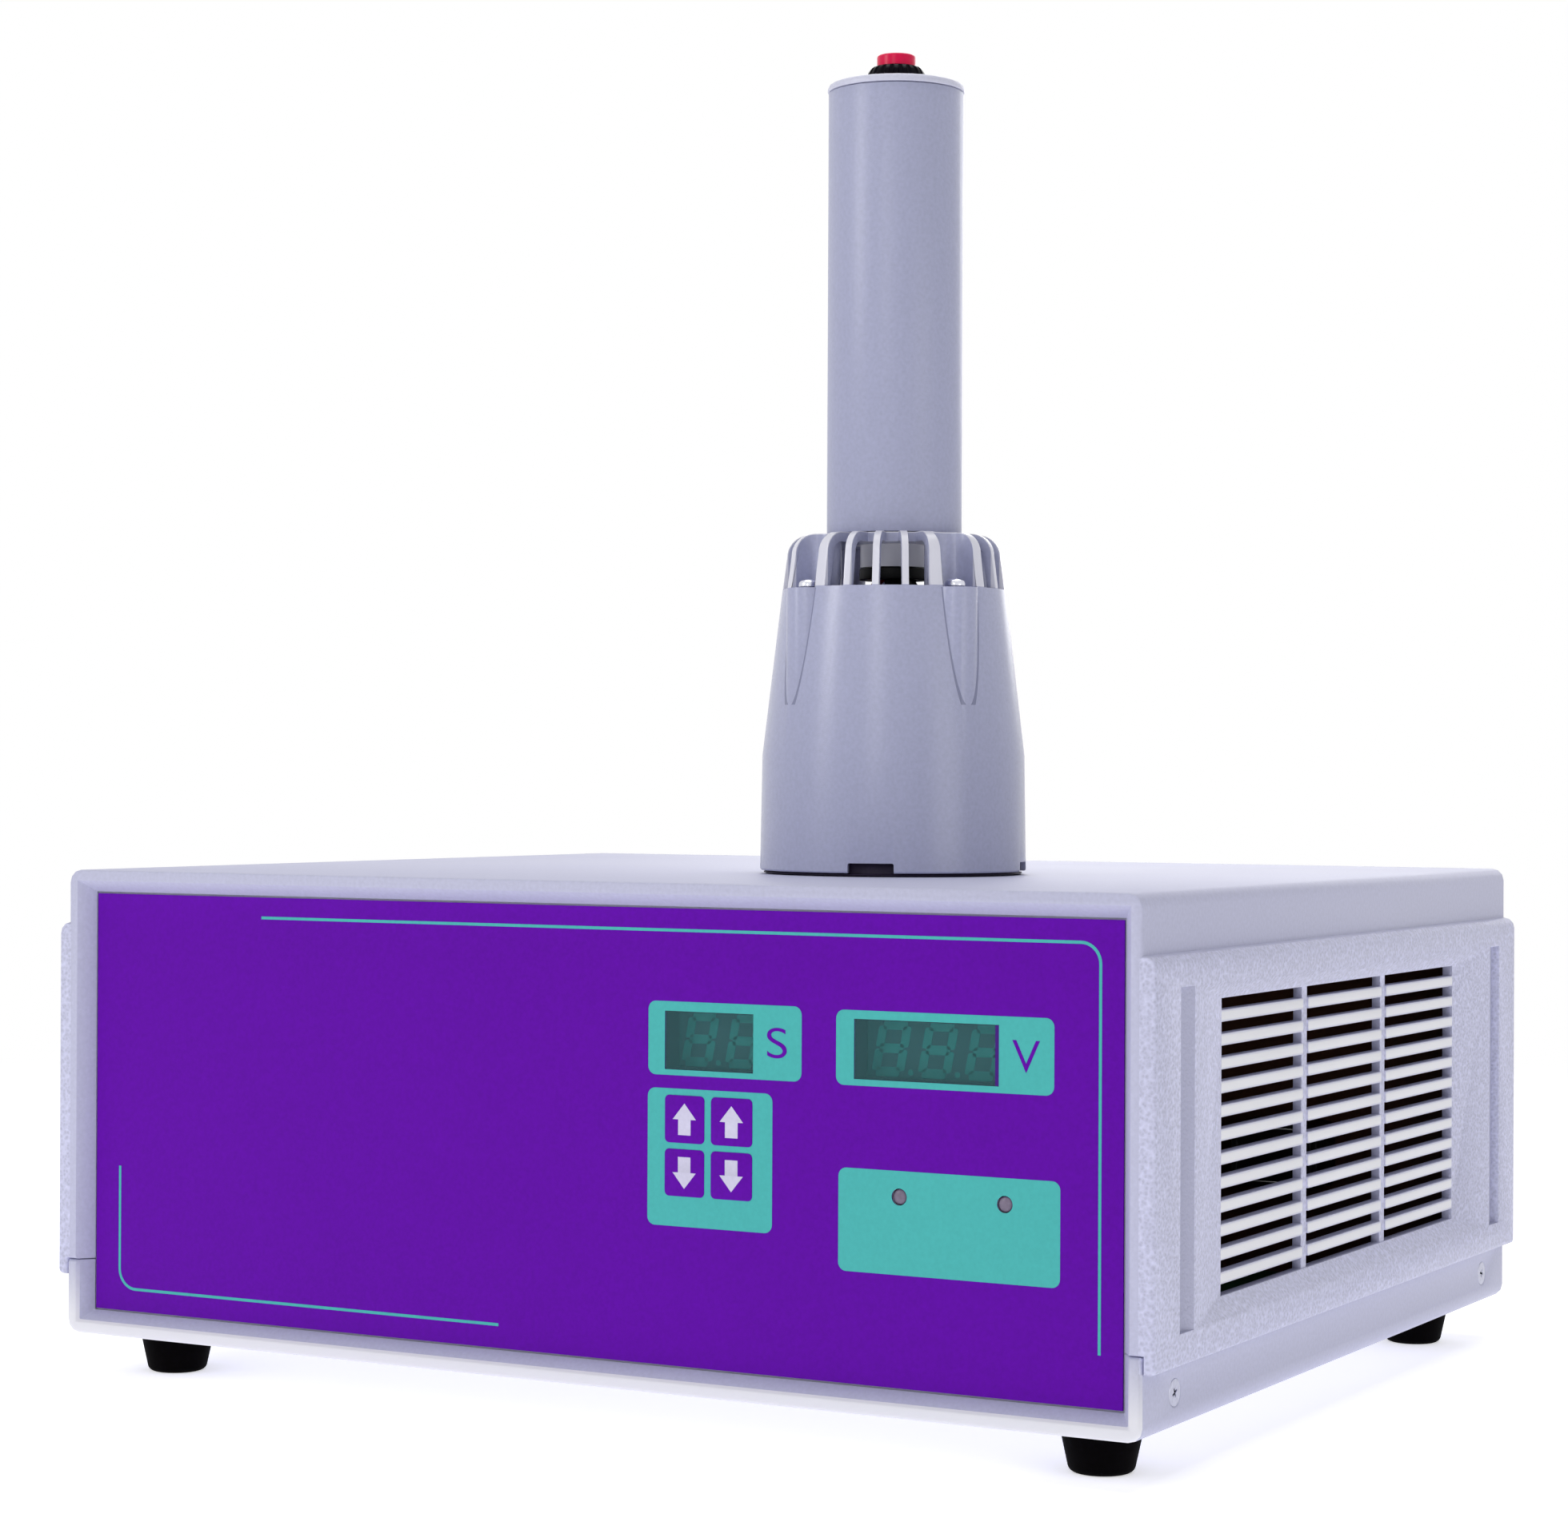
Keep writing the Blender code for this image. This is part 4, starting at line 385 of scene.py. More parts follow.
# Painted shade in the crevices of the leather grain and painted light on the tops of its cells.
grain_light_and_shade = node(tree, "Mix", data_type="RGBA", blend_type="MULTIPLY")
skin = tree.nodes["Principled BSDF"]
join(
    (where, wander.inputs["Vector"]),
    (where, drawn.inputs[4]),
    (wander.outputs["Color"], drawn.inputs[5]),
    (drawn.outputs[1], leather.inputs["Vector"]),
    (sums("MULTIPLY", cells, grained), spark.inputs["Height"]),
    (tree.nodes["Bump"].outputs[0], spark.inputs["Normal"]),
    (spark.outputs[0], skin.inputs["Normal"]),
    (skin.inputs["Base Color"].links[0].from_socket, grain_light_and_shade.inputs[6]),
    (sums("MULTIPLY_ADD", cells, CELL_TOP_LIGHT, CREVICE_SHADE), grain_light_and_shade.inputs[7]),
    (grained, grain_light_and_shade.inputs[0]),
    (grain_light_and_shade.outputs[2], skin.inputs["Base Color"]),
)
# Painted light on the slats and the lower front rim.
pale = overlap(slat, ramp(row, SLAT_EDGE_SHADE_START, SLAT_EDGE_SHADE_END))
painted(shell_finish, sums("MAXIMUM", pale, lip_highlight), PAINTED_LIGHT_COLOUR)
painted(shell_finish, groove_shade, GROOVE_SHADE_COLOUR)
painted(shell_finish, inside, INSIDE_SHADE_COLOUR)

dressed("upper_shell", "roof_and_cheeks", 0.3, shell_finish)
dressed("lower_shell", "floor_tray", 0.3, shell_finish)


# Rubber feet: four black feet with a soft lower edge. They are moulded in rubber, and each is pushed into the
# floor tray by the stud on its top.
def editing(piece, kind="VERT"):
    """Edit mode on a piece, with nothing selected."""
    active(piece)
    bpy.ops.object.mode_set(mode="EDIT")
    bpy.ops.mesh.select_mode(type=kind)
    bpy.ops.mesh.select_all(action="DESELECT")
    return bmesh.from_edit_mesh(piece.data)


def pick(piece, shape, items, test):
    """Selects the vertices, edges or faces of an edited piece that pass a test."""
    bpy.ops.mesh.select_all(action="DESELECT")
    for item in items:
        if test(item):
            item.select_set(True)
    shape.select_flush_mode()
    bmesh.update_edit_mesh(piece.data)


def closed_up():
    """Turns all faces of the piece in edit mode outwards and leaves edit mode."""
    bpy.ops.mesh.select_all(action="SELECT")
    bpy.ops.mesh.normals_make_consistent(inside=False)
    bpy.ops.object.mode_set(mode="OBJECT")


def turned(name, profile, steps=96, closed=False):
    """A line of (radius, height) points, drawn by extruding a vertex, spun round the Z axis."""
    start = profile[0]
    bpy.ops.mesh.primitive_plane_add(size=0.001, location=(start[0], 0, start[1]))
    piece = bpy.context.object
    piece.name = name
    bpy.ops.object.mode_set(mode="EDIT")
    bpy.ops.mesh.select_mode(type="VERT")
    bpy.ops.mesh.select_all(action="SELECT")
    bpy.ops.mesh.merge(type="CENTER")
    route = list(profile[1:]) + ([start] if closed else [])
    last = start
    for point in route:
        step = (point[0] - last[0], 0, point[1] - last[1])
        bpy.ops.mesh.extrude_region_move(TRANSFORM_OT_translate={"value": step})
        last = point
    bpy.ops.mesh.select_all(action="SELECT")
    bpy.ops.mesh.remove_doubles(threshold=0.000001)
    bpy.ops.mesh.spin(steps=steps, angle=2 * pi, center=(0, 0, 0), axis=(0, 0, 1))
    bpy.ops.mesh.select_all(action="SELECT")
    bpy.ops.mesh.remove_doubles(threshold=0.000002)
    closed_up()
    bpy.ops.object.transform_apply()
    return piece


def bend(centre, radius, start, end, steps):
    """Points of an arc in a profile, between two angles in degrees."""
    angles = [radians(start + (end - start) * i / steps) for i in range(steps + 1)]
    return [(centre[0] + radius * cos(a), centre[1] + radius * sin(a)) for a in angles]


def twin(piece, name):
    """A copy of a piece with its own mesh."""
    copy = piece.copy()
    copy.data = piece.data.copy()
    copy.name = name
    bpy.context.scene.collection.objects.link(copy)
    return copy


FOOT_TOP = 10.2 * MM
FOOT_SOLE = 8.2 * MM
SOLE_ROUND = 2 * MM
FOOT_RIM = 0.6 * MM
STUD = 3 * MM
FOOT_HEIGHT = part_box("lower_shell")[0].z - 0.3 * MM
rubber_finish = moulded("foot_rubber", (3, 2, 3), 0.7, grain=0.25, depth=0.03, drift=0.15, gloss=0.03)
foot_profile = [(0, 0)] + bend((FOOT_SOLE - SOLE_ROUND, SOLE_ROUND), SOLE_ROUND, 270, 345, 6)
foot_profile += bend((FOOT_TOP - FOOT_RIM, FOOT_HEIGHT - FOOT_RIM), FOOT_RIM, -10, 90, 4)
foot_profile += [(STUD, FOOT_HEIGHT), (0, FOOT_HEIGHT)]
first_foot = turned("rubber_foot", foot_profile, 64)
for place in ("left_front", "left_rear", "right_front", "right_rear"):
    low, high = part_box("foot_" + place)
    piece = twin(first_foot, "rubber_foot_" + place)
    piece.location = ((low.x + high.x) / 2, (low.y + high.y) / 2, 0)
    fitted(piece, rubber_finish, instead=["foot_" + place])
bpy.data.objects.remove(first_foot)


# Case screws: four countersunk screws of zinc-plated steel, each with a cross recess that is driven in cold
# and has rounded mouths. They lie dull in the sides, where they hold the shells together.
def block(name, low, high, corner=0.0, steps=4, axis=1):
    """A box between two corners, with the edges along one axis rounded."""
    low = Vector(low)
    high = Vector(high)
    bpy.ops.mesh.primitive_cube_add(size=1, location=(low + high) / 2, scale=high - low)
    piece = bpy.context.object
    piece.name = name
    bpy.ops.object.transform_apply()
    if corner:
        shape = editing(piece, "EDGE")
        ends = [(edge, [vert.co[axis] for vert in edge.verts]) for edge in shape.edges]
        along = {edge for edge, (first, last) in ends if abs(first - last) > 0.9 * edge.calc_length()}
        pick(piece, shape, shape.edges, lambda edge: edge in along)
        bpy.ops.mesh.bevel(offset=corner, segments=steps, affect="EDGES")
        bpy.ops.object.mode_set(mode="OBJECT")
    return piece


def carve(piece, tool, operation="DIFFERENCE"):
    """Cuts a piece with a tool, or joins the tool to it, and removes the tool."""
    apply(piece, "BOOLEAN", object=tool, operation=operation, solver="EXACT")
    bpy.data.objects.remove(tool)


def cross_head(name, profile, head, top):
    """A turned screw head with a cross recess whose arms narrow with depth."""
    piece = turned(name, profile, 48)
    reach = 0.6 * head
    arm = 0.15 * head  # half its width
    depth = 0.55 * head
    for turn in (0, pi / 2):
        tool = block("driver", (-reach, -arm, top - depth), (reach, arm, top + head))
        tool.rotation_euler.z = turn
        shape = editing(tool)
        pick(tool, shape, shape.verts, lambda v: v.co.z < top)
        bpy.ops.transform.resize(value=(0.35, 0.6, 1), center_override=(0, 0, top))
        bpy.ops.object.mode_set(mode="OBJECT")
        carve(piece, tool)
    rounded(piece, 0.12 * MM)
    return piece


RECESS_SHADE_COLOUR = (16, 14, 18)
SUNK = 3.35 * MM
SUNK_FACE = -0.05 * MM
SHANK = 1.5 * MM
COUNTERSINK_END = -2 * MM
SHANK_END = -6 * MM
dull_finish = moulded("dull_zinc", (176, 177, 194), 0.34, grain=0.6, depth=0.012, drift=0.08, metallic=1.0)
# Painted shade: the screw is painted near-black where it lies deeper than the slats' face, in its cross
# recess.
deep = sums("LESS_THAN", sums("ABSOLUTE", places(dull_finish)["X"]), SLAT_FACE - 0.3 * MM)
painted(dull_finish, deep, RECESS_SHADE_COLOUR)
sunk_profile = [
    (0, SUNK_FACE),
    (SUNK - 0.15 * MM, SUNK_FACE),
    (SUNK, -0.2 * MM),
    (SHANK, COUNTERSINK_END),
    (SHANK, SHANK_END),
    (0, SHANK_END),
]
first_screw = cross_head("case_screw", sunk_profile, SUNK, SUNK_FACE)
for hand, way in (("left", -1), ("right", 1)):
    for end, lean in (("front", 24), ("rear", -14)):
        low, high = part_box(f"case_screw_{hand}_{end}")
        head = (low.x if way < 0 else high.x, (low.y + high.y) / 2, (low.z + high.z) / 2)
        outward = Matrix.Rotation(way * pi / 2, 4, "Y")
        piece = twin(first_screw, f"countersunk_screw_{hand}_{end}")
        piece.matrix_world = Matrix.Translation(head) @ outward @ Matrix.Rotation(radians(lean), 4, "Z")
        fitted(piece, dull_finish, instead=[f"case_screw_{hand}_{end}"])
bpy.data.objects.remove(first_screw)


# Front panel and keypad film: a flat moulded panel carries a printed polyester film, purple, with teal fields
# and a teal line round them. The film is glued on, and its print is a thin layer of ink. Inside, the panel
# carries the same brown-black painted shade as the shell.
def coat(node_name, material):
    """Gives a CAD node that keeps its shape its finish."""
    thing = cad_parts[node_name]
    thing.data.materials.clear()
    thing.data.materials.append(material)


PANEL_INSIDE = 128.6 * MM
FILM_FACE = -130.5 * MM
INK = 0.04 * MM
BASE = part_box("lower_shell")[0].z
panel_finish = moulded("panel_plastic", (188, 188, 206), 0.5, grain=0.3)
# Painted shade: the panel's inner face is painted brown-black, as the shells' inner walls are.
painted(panel_finish, sums("COMPARE", places(panel_finish)["Y"], 0, PANEL_INSIDE), INSIDE_SHADE_COLOUR)
film_finish = moulded("purple_film", (98, 5, 167), 0.5, grain=0.16, depth=0.008, drift=0.06, gloss=0.08)
teal_finish = moulded("teal_ink", (79, 184, 181), 0.5, grain=0.16, depth=0.008, drift=0.03, gloss=0.1)
coat("front_panel", panel_finish)
coat("keypad_film", film_finish)


def inked(name, left, right, low, high, corner, layer):
    """A printed rectangle on the film; its sizes are in mm, from the middle and the case's underside."""
    start = (left * MM, FILM_FACE - layer * INK, BASE + low * MM)
    end = (right * MM, FILM_FACE + INK, BASE + high * MM)
    return block(name, start, end, corner * MM, 6)


# The fields, in mm: left, right, low and high. Two have a window for a display and one has two for the lamps.
FIELDS = {
    "time_field": (24.1, 67.9, 78.9, 97.3),
    "volt_field": (77.5, 135.7, 78.75, 97.0),
    "key_field": (24.0, 59.8, 41.3, 75.6),
    "status_field": (78.3, 137.4, 33.7, 58.75),
}
FIELD_CORNER = 2.1
WINDOWS = {"time_field": (28.9, 54.3), "volt_field": (82.4, 121.3)}
WINDOW_LOW = 80.3
WINDOW_HIGH = 94.9
LAMP_WINDOWS = (94.9, 123.0)
LAMP_LEVEL = 52.5
LAMP_HOLE = 2.05 * MM
CUT = 10 * MM  # well through the ink
for name, sides in FIELDS.items():
    piece = inked(name, *sides, FIELD_CORNER, 1)
    if name in WINDOWS:
        start, stop = WINDOWS[name]
        low = (start * MM, FILM_FACE - CUT, BASE + WINDOW_LOW * MM)
        carve(piece, block("window", low, (stop * MM, FILM_FACE + CUT, BASE + WINDOW_HIGH * MM)))
    if name == "status_field":
        for across in LAMP_WINDOWS:
            centre = (across * MM, FILM_FACE, BASE + LAMP_LEVEL * MM)
            bpy.ops.mesh.primitive_cylinder_add(vertices=40, radius=LAMP_HOLE, depth=CUT, location=centre,
                                                rotation=(pi / 2, 0, 0))
            carve(piece, bpy.context.object)
    fitted(piece, teal_finish)


def line(name, start, legs):
    """A printed line: an edge is drawn along straight legs and spun round the corners between them."""
    bpy.ops.mesh.primitive_plane_add(size=LINE, location=(0, 0, 0), rotation=(pi / 2, 0, 0))
    piece = bpy.context.object
    piece.name = name
    bpy.ops.object.transform_apply()
    shape = editing(piece, "EDGE")
    first = legs[0][1]
    across = 2 if first[0] else 0
    pick(piece, shape, shape.verts, lambda v: v.co[2 - across] * first[0 if across else 1] > 0)
    bpy.ops.mesh.delete(type="VERT")
    bpy.ops.mesh.select_all(action="SELECT")
    point = Vector((start[0] * MM, FILM_FACE, BASE + start[1] * MM))
    now = sum((v.co for v in shape.verts), Vector()) / len(shape.verts)
    bpy.ops.transform.translate(value=point - now)
    for kind, value in legs:
        if kind == "straight":
            step = Vector((value[0] * MM, 0, value[1] * MM))
            bpy.ops.mesh.extrude_region_move(TRANSFORM_OT_translate={"value": step})
        else:
            centre = (value[0] * MM, FILM_FACE, BASE + value[1] * MM)
            bpy.ops.mesh.spin(steps=10, angle=radians(value[2]), center=centre, axis=(0, 1, 0))
    bpy.ops.mesh.select_all(action="SELECT")
    bpy.ops.mesh.remove_doubles(threshold=0.000001)
    bpy.ops.object.mode_set(mode="OBJECT")
    apply(piece, "SOLIDIFY", thickness=2 * INK, offset=0)
    editing(piece)
    closed_up()
    fitted(piece, teal_finish)


# The teal line starts and stops short of the corners that the fields' side leaves open. A straight leg is a
# step across and up in mm, a corner its centre and its turn in degrees.
LINE = 0.75 * MM
line("frame_line_right", (-97.3, 115.05), [
    ("straight", (239.8, 0)),
    ("corner", (142.5, 110.05, -90)),
    ("straight", (0, -91.15)),
])
line("frame_line_left", (-145.3, 46), [
    ("straight", (0, -28)),
    ("corner", (-139.8, 18, 90)),
    ("straight", (119.2, 0)),
])

# Keys: four blistered squares of the polyester film, each printed with a white arrow. Each is pressed out of
# the film over the plunger of a key switch on the control board.
KEY_PLACES = {"left": (29.05, 40.5), "right": (42.35, 54.2)}
KEY_ROWS = {"up": (62.1, 74.0), "down": (48.8, 60.6)}
KEY_CORNER = 1.25
BLISTER = 5  # layers of ink high
STEM_WIDE = 3.6 * MM
STEM_LONG = 3.9 * MM
STEM_DROP = 2 * MM
HEAD_WIDE = 6.7 * MM
HEAD_LONG = 4 * MM
white_finish = moulded("white_ink", (212, 209, 232), 0.5, grain=0.16, depth=0.008, drift=0.03, gloss=0.1)
bpy.ops.mesh.primitive_plane_add(size=1, location=(0, 0, 0), rotation=(pi / 2, 0, 0))
first_arrow = bpy.context.object
first_arrow.name = "arrow"
bpy.ops.object.transform_apply()
shape = editing(first_arrow, "EDGE")
bpy.ops.mesh.select_all(action="SELECT")
bpy.ops.transform.resize(value=(STEM_WIDE, 1, STEM_LONG), center_override=(0, 0, 0))
bpy.ops.transform.translate(value=(0, 0, -STEM_DROP))
pick(first_arrow, shape, shape.edges, lambda e: min(v.co.z for v in e.verts) > -MM)
bpy.ops.mesh.extrude_region_move(TRANSFORM_OT_translate={"value": (0, 0, 0)})
bpy.ops.transform.resize(value=(HEAD_WIDE / STEM_WIDE, 1, 1), center_override=(0, 0, 0))
bpy.ops.mesh.extrude_region_move(TRANSFORM_OT_translate={"value": (0, 0, HEAD_LONG)})
bpy.ops.mesh.merge(type="CENTER")
bpy.ops.object.mode_set(mode="OBJECT")
apply(first_arrow, "SOLIDIFY", thickness=2 * INK, offset=0)
editing(first_arrow)
closed_up()
for row, (low, high) in KEY_ROWS.items():
    for column, (left, right) in KEY_PLACES.items():
        piece = inked(f"key_blister_{row}_{column}", left, right, low, high, KEY_CORNER, BLISTER)
        rounded(piece, 0.12 * MM, angle=50)
        fitted(piece, film_finish)
        middle = ((left + right) / 2 * MM, FILM_FACE - BLISTER * INK, BASE + (low + high) / 2 * MM)
        arrow = twin(first_arrow, f"arrow_{row}_{column}")
        turn = 0 if row == "up" else pi
        arrow.matrix_world = Matrix.Translation(middle) @ Matrix.Rotation(turn, 4, "Y")
        fitted(arrow, white_finish)
bpy.data.objects.remove(first_arrow)

# Unit letters: S for seconds and V for volts, in thin strokes beside the windows. They are printed on the
# teal fields in the purple ink of the film. Each has its left, its foot, its width and its height in mm.
UNIT_LETTERS = (("S", 58.2, 84.35, 5.6, 7.5), ("V", 124.8, 83.9, 7.2, 7.6))
THINNED = -0.006
for letter, left, low, wide, tall in UNIT_LETTERS:
    bpy.ops.object.text_add(location=(0, 0, 0))
    mark = bpy.context.object
    mark.name = "unit_" + letter.lower()
    mark.data.body = letter
    mark.data.size = 1
    mark.data.offset = THINNED
    mark.data.extrude = 0.004
    bpy.ops.object.convert(target="MESH")
    mark = bpy.context.object
    corners = [Vector(c) for c in mark.bound_box]
    low_corner = Vector(map(min, *corners))
    size = Vector(map(max, *corners)) - low_corner
    editing(mark)
    bpy.ops.mesh.select_all(action="SELECT")
    bpy.ops.mesh.remove_doubles(threshold=0.00001)
    bpy.ops.transform.translate(value=(-low_corner.x, -low_corner.y, 0))
    grow = (wide * MM / size.x, tall * MM / size.y, 2 * INK / size.z)
    bpy.ops.transform.resize(value=grow, center_override=(0, 0, 0))
    bpy.ops.object.mode_set(mode="OBJECT")
    corner = Matrix.Translation((left * MM, FILM_FACE - INK, BASE + low * MM))
    mark.matrix_world = corner @ Matrix.Rotation(pi / 2, 4, "X")
    fitted(mark, film_finish)


# Displays: grey seven-segment modules, moulded in resin and soldered to the control board. They are seen deep
# behind clear windows of the film, and unlit, with segments a little lighter than the face round them.
def united(pieces, name):
    """Joins pieces into one."""
    active(pieces[0])
    for piece in pieces:
        piece.select_set(True)
    bpy.ops.object.join()
    pieces[0].name = name
    return pieces[0]


DIGIT_PITCH = 12.6
DIGIT_TALL = 5.7  # from the middle bar to the others
UPRIGHT_OUT = 3.3
UPRIGHT_UP = 2.85
BAR_LONG = 3.2  # half its length
UPRIGHT_LONG = 2.6  # half its length
BAR_WIDE = 1.15  # half its width
BAR_CORNER = 0.6 * MM
POINT_OUT = 5.2
POINT = 0.75 * MM
LEAN = 0.19  # of the digits, across for each step up
HOOD_WALL = 0.25
PANE_ALPHA = 0.25
face_finish = moulded("display_mask", (50, 88, 96), 0.5, grain=0.4, depth=0.02, drift=0.1, gloss=0.15)
segment_finish = moulded("unlit_segments", (42, 156, 150), 0.4, grain=0.5, depth=0.01, drift=0.06, gloss=0.15)
hood_finish = moulded("display_hood", (40, 5, 44), 0.6, grain=0.4, depth=0.02, drift=0.1, gloss=0.05)
# Painted shade: the purple film in the volt window's margin is painted darker than the film.
shaded_margin_finish = moulded("window_margin", (70, 30, 126), 0.5, grain=0.16, depth=0.008, drift=0.05, gloss=0.1)
pane_finish = moulded("tinted_window", (68, 122, 126), 0.2, grain=0.6, depth=0.004, drift=0.04, gloss=0.3)
pane_finish.node_tree.nodes["Principled BSDF"].inputs["Alpha"].default_value = PANE_ALPHA
bars = [(0, DIGIT_TALL), (0, 0), (0, -DIGIT_TALL)]
bars += [(dx, dz) for dz in (UPRIGHT_UP, -UPRIGHT_UP) for dx in (-UPRIGHT_OUT, UPRIGHT_OUT)]


def behind(window, name, edge, front, back, corner=0.0):
    """A block behind a window, smaller than it by edge all round."""
    low = ((window[0] + edge) * MM, front, BASE + (WINDOW_LOW + edge) * MM)
    high = ((window[1] - edge) * MM, back, BASE + (WINDOW_HIGH - edge) * MM)
    return block(name, low, high, corner)


for name, field, digits in (("time_display", "time_field", 2), ("volt_display", "volt_field", 3)):
    window = WINDOWS[field]
    low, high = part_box(name)
    front = low.y
    module = behind(window, name + "_module", 0.3, front, high.y, 0.4 * MM)
    fitted(module, face_finish, instead=[name])
    hood = behind(window, name + "_hood", 0, FILM_FACE + 0.5 * MM, front - 0.1 * MM)
    carve(hood, behind(window, "well", HOOD_WALL, FILM_FACE - MM, front + MM))
    fitted(hood, hood_finish)
    marks = []
    level = (WINDOW_LOW + WINDOW_HIGH) / 2
    for digit in range(digits):
        middle = sum(window) / 2 + (digit - (digits - 1) / 2) * DIGIT_PITCH
        for dx, dz in bars:
            wide, tall = (BAR_WIDE, UPRIGHT_LONG) if dx else (BAR_LONG, BAR_WIDE)
            low = ((middle + dx - wide) * MM, front - 0.1 * MM, BASE + (level + dz - tall) * MM)
            high = ((middle + dx + wide) * MM, front + 0.2 * MM, BASE + (level + dz + tall) * MM)
            bar = block("segment", low, high, BAR_CORNER, 2)
            for vert in bar.data.vertices:
                vert.co.x += LEAN * (vert.co.z - BASE - level * MM)
            marks.append(bar)
        spot = ((middle + POINT_OUT) * MM, front + 0.05 * MM, BASE + (level - DIGIT_TALL) * MM)
        bpy.ops.mesh.primitive_cylinder_add(vertices=20, radius=POINT, depth=0.3 * MM, location=spot,
                                            rotation=(pi / 2, 0, 0))
        bpy.ops.object.transform_apply()
        marks.append(bpy.context.object)
    fitted(united(marks, name + "_segments"), segment_finish)
    pane = behind(window, name + "_window", 0, FILM_FACE, FILM_FACE + 0.3 * MM)
    fitted(pane, pane_finish)
# The purple film shows in a thin margin at the right of the volt window; its darker tone is painted shade.
right = WINDOWS["volt_field"][1]
piece = inked("volt_window_margin", right - 1, right, WINDOW_LOW + 0.1, WINDOW_HIGH - 0.1, 0.2, 0.5)
fitted(piece, shaded_margin_finish)

# Warning lamps: two unlit lamps with diffused plastic lenses, soldered to the control board. Their domes
# stand just behind round windows of the film.
LENS_RADIUS = 1.9 * MM
DOME = 0.7 * MM
lamp_finish = moulded("lamp_lens", (122, 112, 132), 0.3, grain=0.4, depth=0.05, drift=0.12, gloss=0.3)
dome = [(LENS_RADIUS * sin(a), DOME * (cos(a) - 1)) for a in (radians(15 * i) for i in range(7))]
for name in ("heat_lamp", "current_lamp"):
    low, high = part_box(name)
    depth = high.y - low.y
    piece = turned(name + "_lens", dome + [(LENS_RADIUS, -depth), (0, -depth)], 40)
    front = Matrix.Translation(((low.x + high.x) / 2, low.y, (low.z + high.z) / 2))
    piece.matrix_world = front @ Matrix.Rotation(pi / 2, 4, "X")
    fitted(piece, lamp_finish, instead=[name])

# Inside of the box: glass-fibre boards with the key switches, an extruded heat sink, and the output
# transformer with its copper winding. They are screwed to the tray and the panel, and seen only as dark
# shapes through the louvres.
board_finish = moulded("board_green", (30, 82, 52), 0.4, grain=0.8, depth=0.02, drift=0.12)
black_finish = moulded("black_plastic", (20, 20, 23), 0.38, grain=0.3, depth=0.02, drift=0.15)
sink_finish = moulded("extruded_aluminium", (186, 188, 194), 0.38, grain=0.9, drift=0.1, metallic=1.0)
ferrite_finish = moulded("fired_ferrite", (52, 50, 54), 0.7, grain=0.4, depth=0.05, drift=0.2)
copper_finish = moulded("enamelled_copper", (168, 90, 46), 0.32, grain=0.9, depth=0.05, drift=0.2,
                        metallic=1.0)
for name in ("control_board", "main_board"):
    coat(name, board_finish)
for row in KEY_ROWS:
    for column in KEY_PLACES:
        coat(f"{row}_key_{column}", black_finish)
        coat(f"{row}_key_{column}_switch", black_finish)
coat("heat_sink", sink_finish)
coat("transformer_core", ferrite_finish)
coat("transformer_winding", copper_finish)

# Rear panel: a flat moulded panel with the mains inlet, the power switch and the rubber bush of the head's
# cable. The inlet and the switch are black plastic and snap into its openings.
coat("rear_panel", panel_finish)
dressed("mains_inlet", "inlet_sleeve", 0.35, black_finish)
dressed("inlet_contacts", "inlet_pins", 0.2, black_finish)
dressed("power_switch", "switch_housing", 0.35, black_finish)
dressed("power_rocker", "switch_rocker", 0.3, black_finish, "power_rocker")
dressed("rear_cable_bush", "rear_grommet", 0.3, rubber_finish)

# Cooling fan: a moulded rotor of seven swept blades, and a guard of bright wire rings that are welded to two
# crossed wires. Four screws through the eyes of the wires hold the guard and the fan's housing to the panel.
GUARD_RINGS = (13, 23, 33)
GUARD_REACH = 35.75 * MM
EYE = 3.6 * MM
WIRE = 0.8 * MM
dressed("fan_frame", "fan_housing", 0.4, black_finish)
dressed("fan_rotor", "fan_impeller", 0.25, black_finish, "fan_rotor")
steel_finish = moulded("zinc_plated_steel", (214, 215, 226), 0.22, grain=0.6, depth=0.012, drift=0.08,
                       metallic=1.0)
low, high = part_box("fan_guard")
hub = Vector(((low.x + high.x) / 2, low.y + WIRE, (low.z + high.z) / 2))
wires = []
for radius in GUARD_RINGS:
    bpy.ops.mesh.primitive_torus_add(major_radius=radius * MM, minor_radius=WIRE, major_segments=72,
                                     minor_segments=12, location=hub, rotation=(pi / 2, 0, 0))
    wires.append(bpy.context.object)
for way in (-1, 1):
    reach = Vector((way * GUARD_REACH, 0, GUARD_REACH))
    lie = reach.to_track_quat("Z", "Y").to_euler()
    bpy.ops.mesh.primitive_cylinder_add(vertices=12, radius=0.9 * WIRE, depth=2 * reach.length,
                                        location=hub, rotation=lie)
    wires.append(bpy.context.object)
    for point in (hub - reach, hub + reach):
        bpy.ops.mesh.primitive_torus_add(major_radius=EYE, minor_radius=WIRE, major_segments=32,
                                         minor_segments=12, location=point, rotation=(pi / 2, 0, 0))
        wires.append(bpy.context.object)
fitted(united(wires, "wire_guard"), steel_finish, instead=["fan_guard"])
for name in [f"fan_screw_{level}_{hand}" for level in ("lower", "upper") for hand in ("left", "right")]:
    coat(name, steel_finish)


# Bell of the sealing head: one turned moulding of lavender-grey plastic, with a slotted cage on its shoulder.
# The cage has four groups of four vents, with three ribs between them and a wider one at each end. Each of
# the four pockets between the groups gives a driver a way to its screw.
def headed(piece, material, body="machine", instead=(), smooth=35):
    """A piece made about the head's own axis, put in its place on the box."""
    piece.matrix_world = HEAD @ piece.matrix_world
    fitted(piece, material, body, instead, smooth)


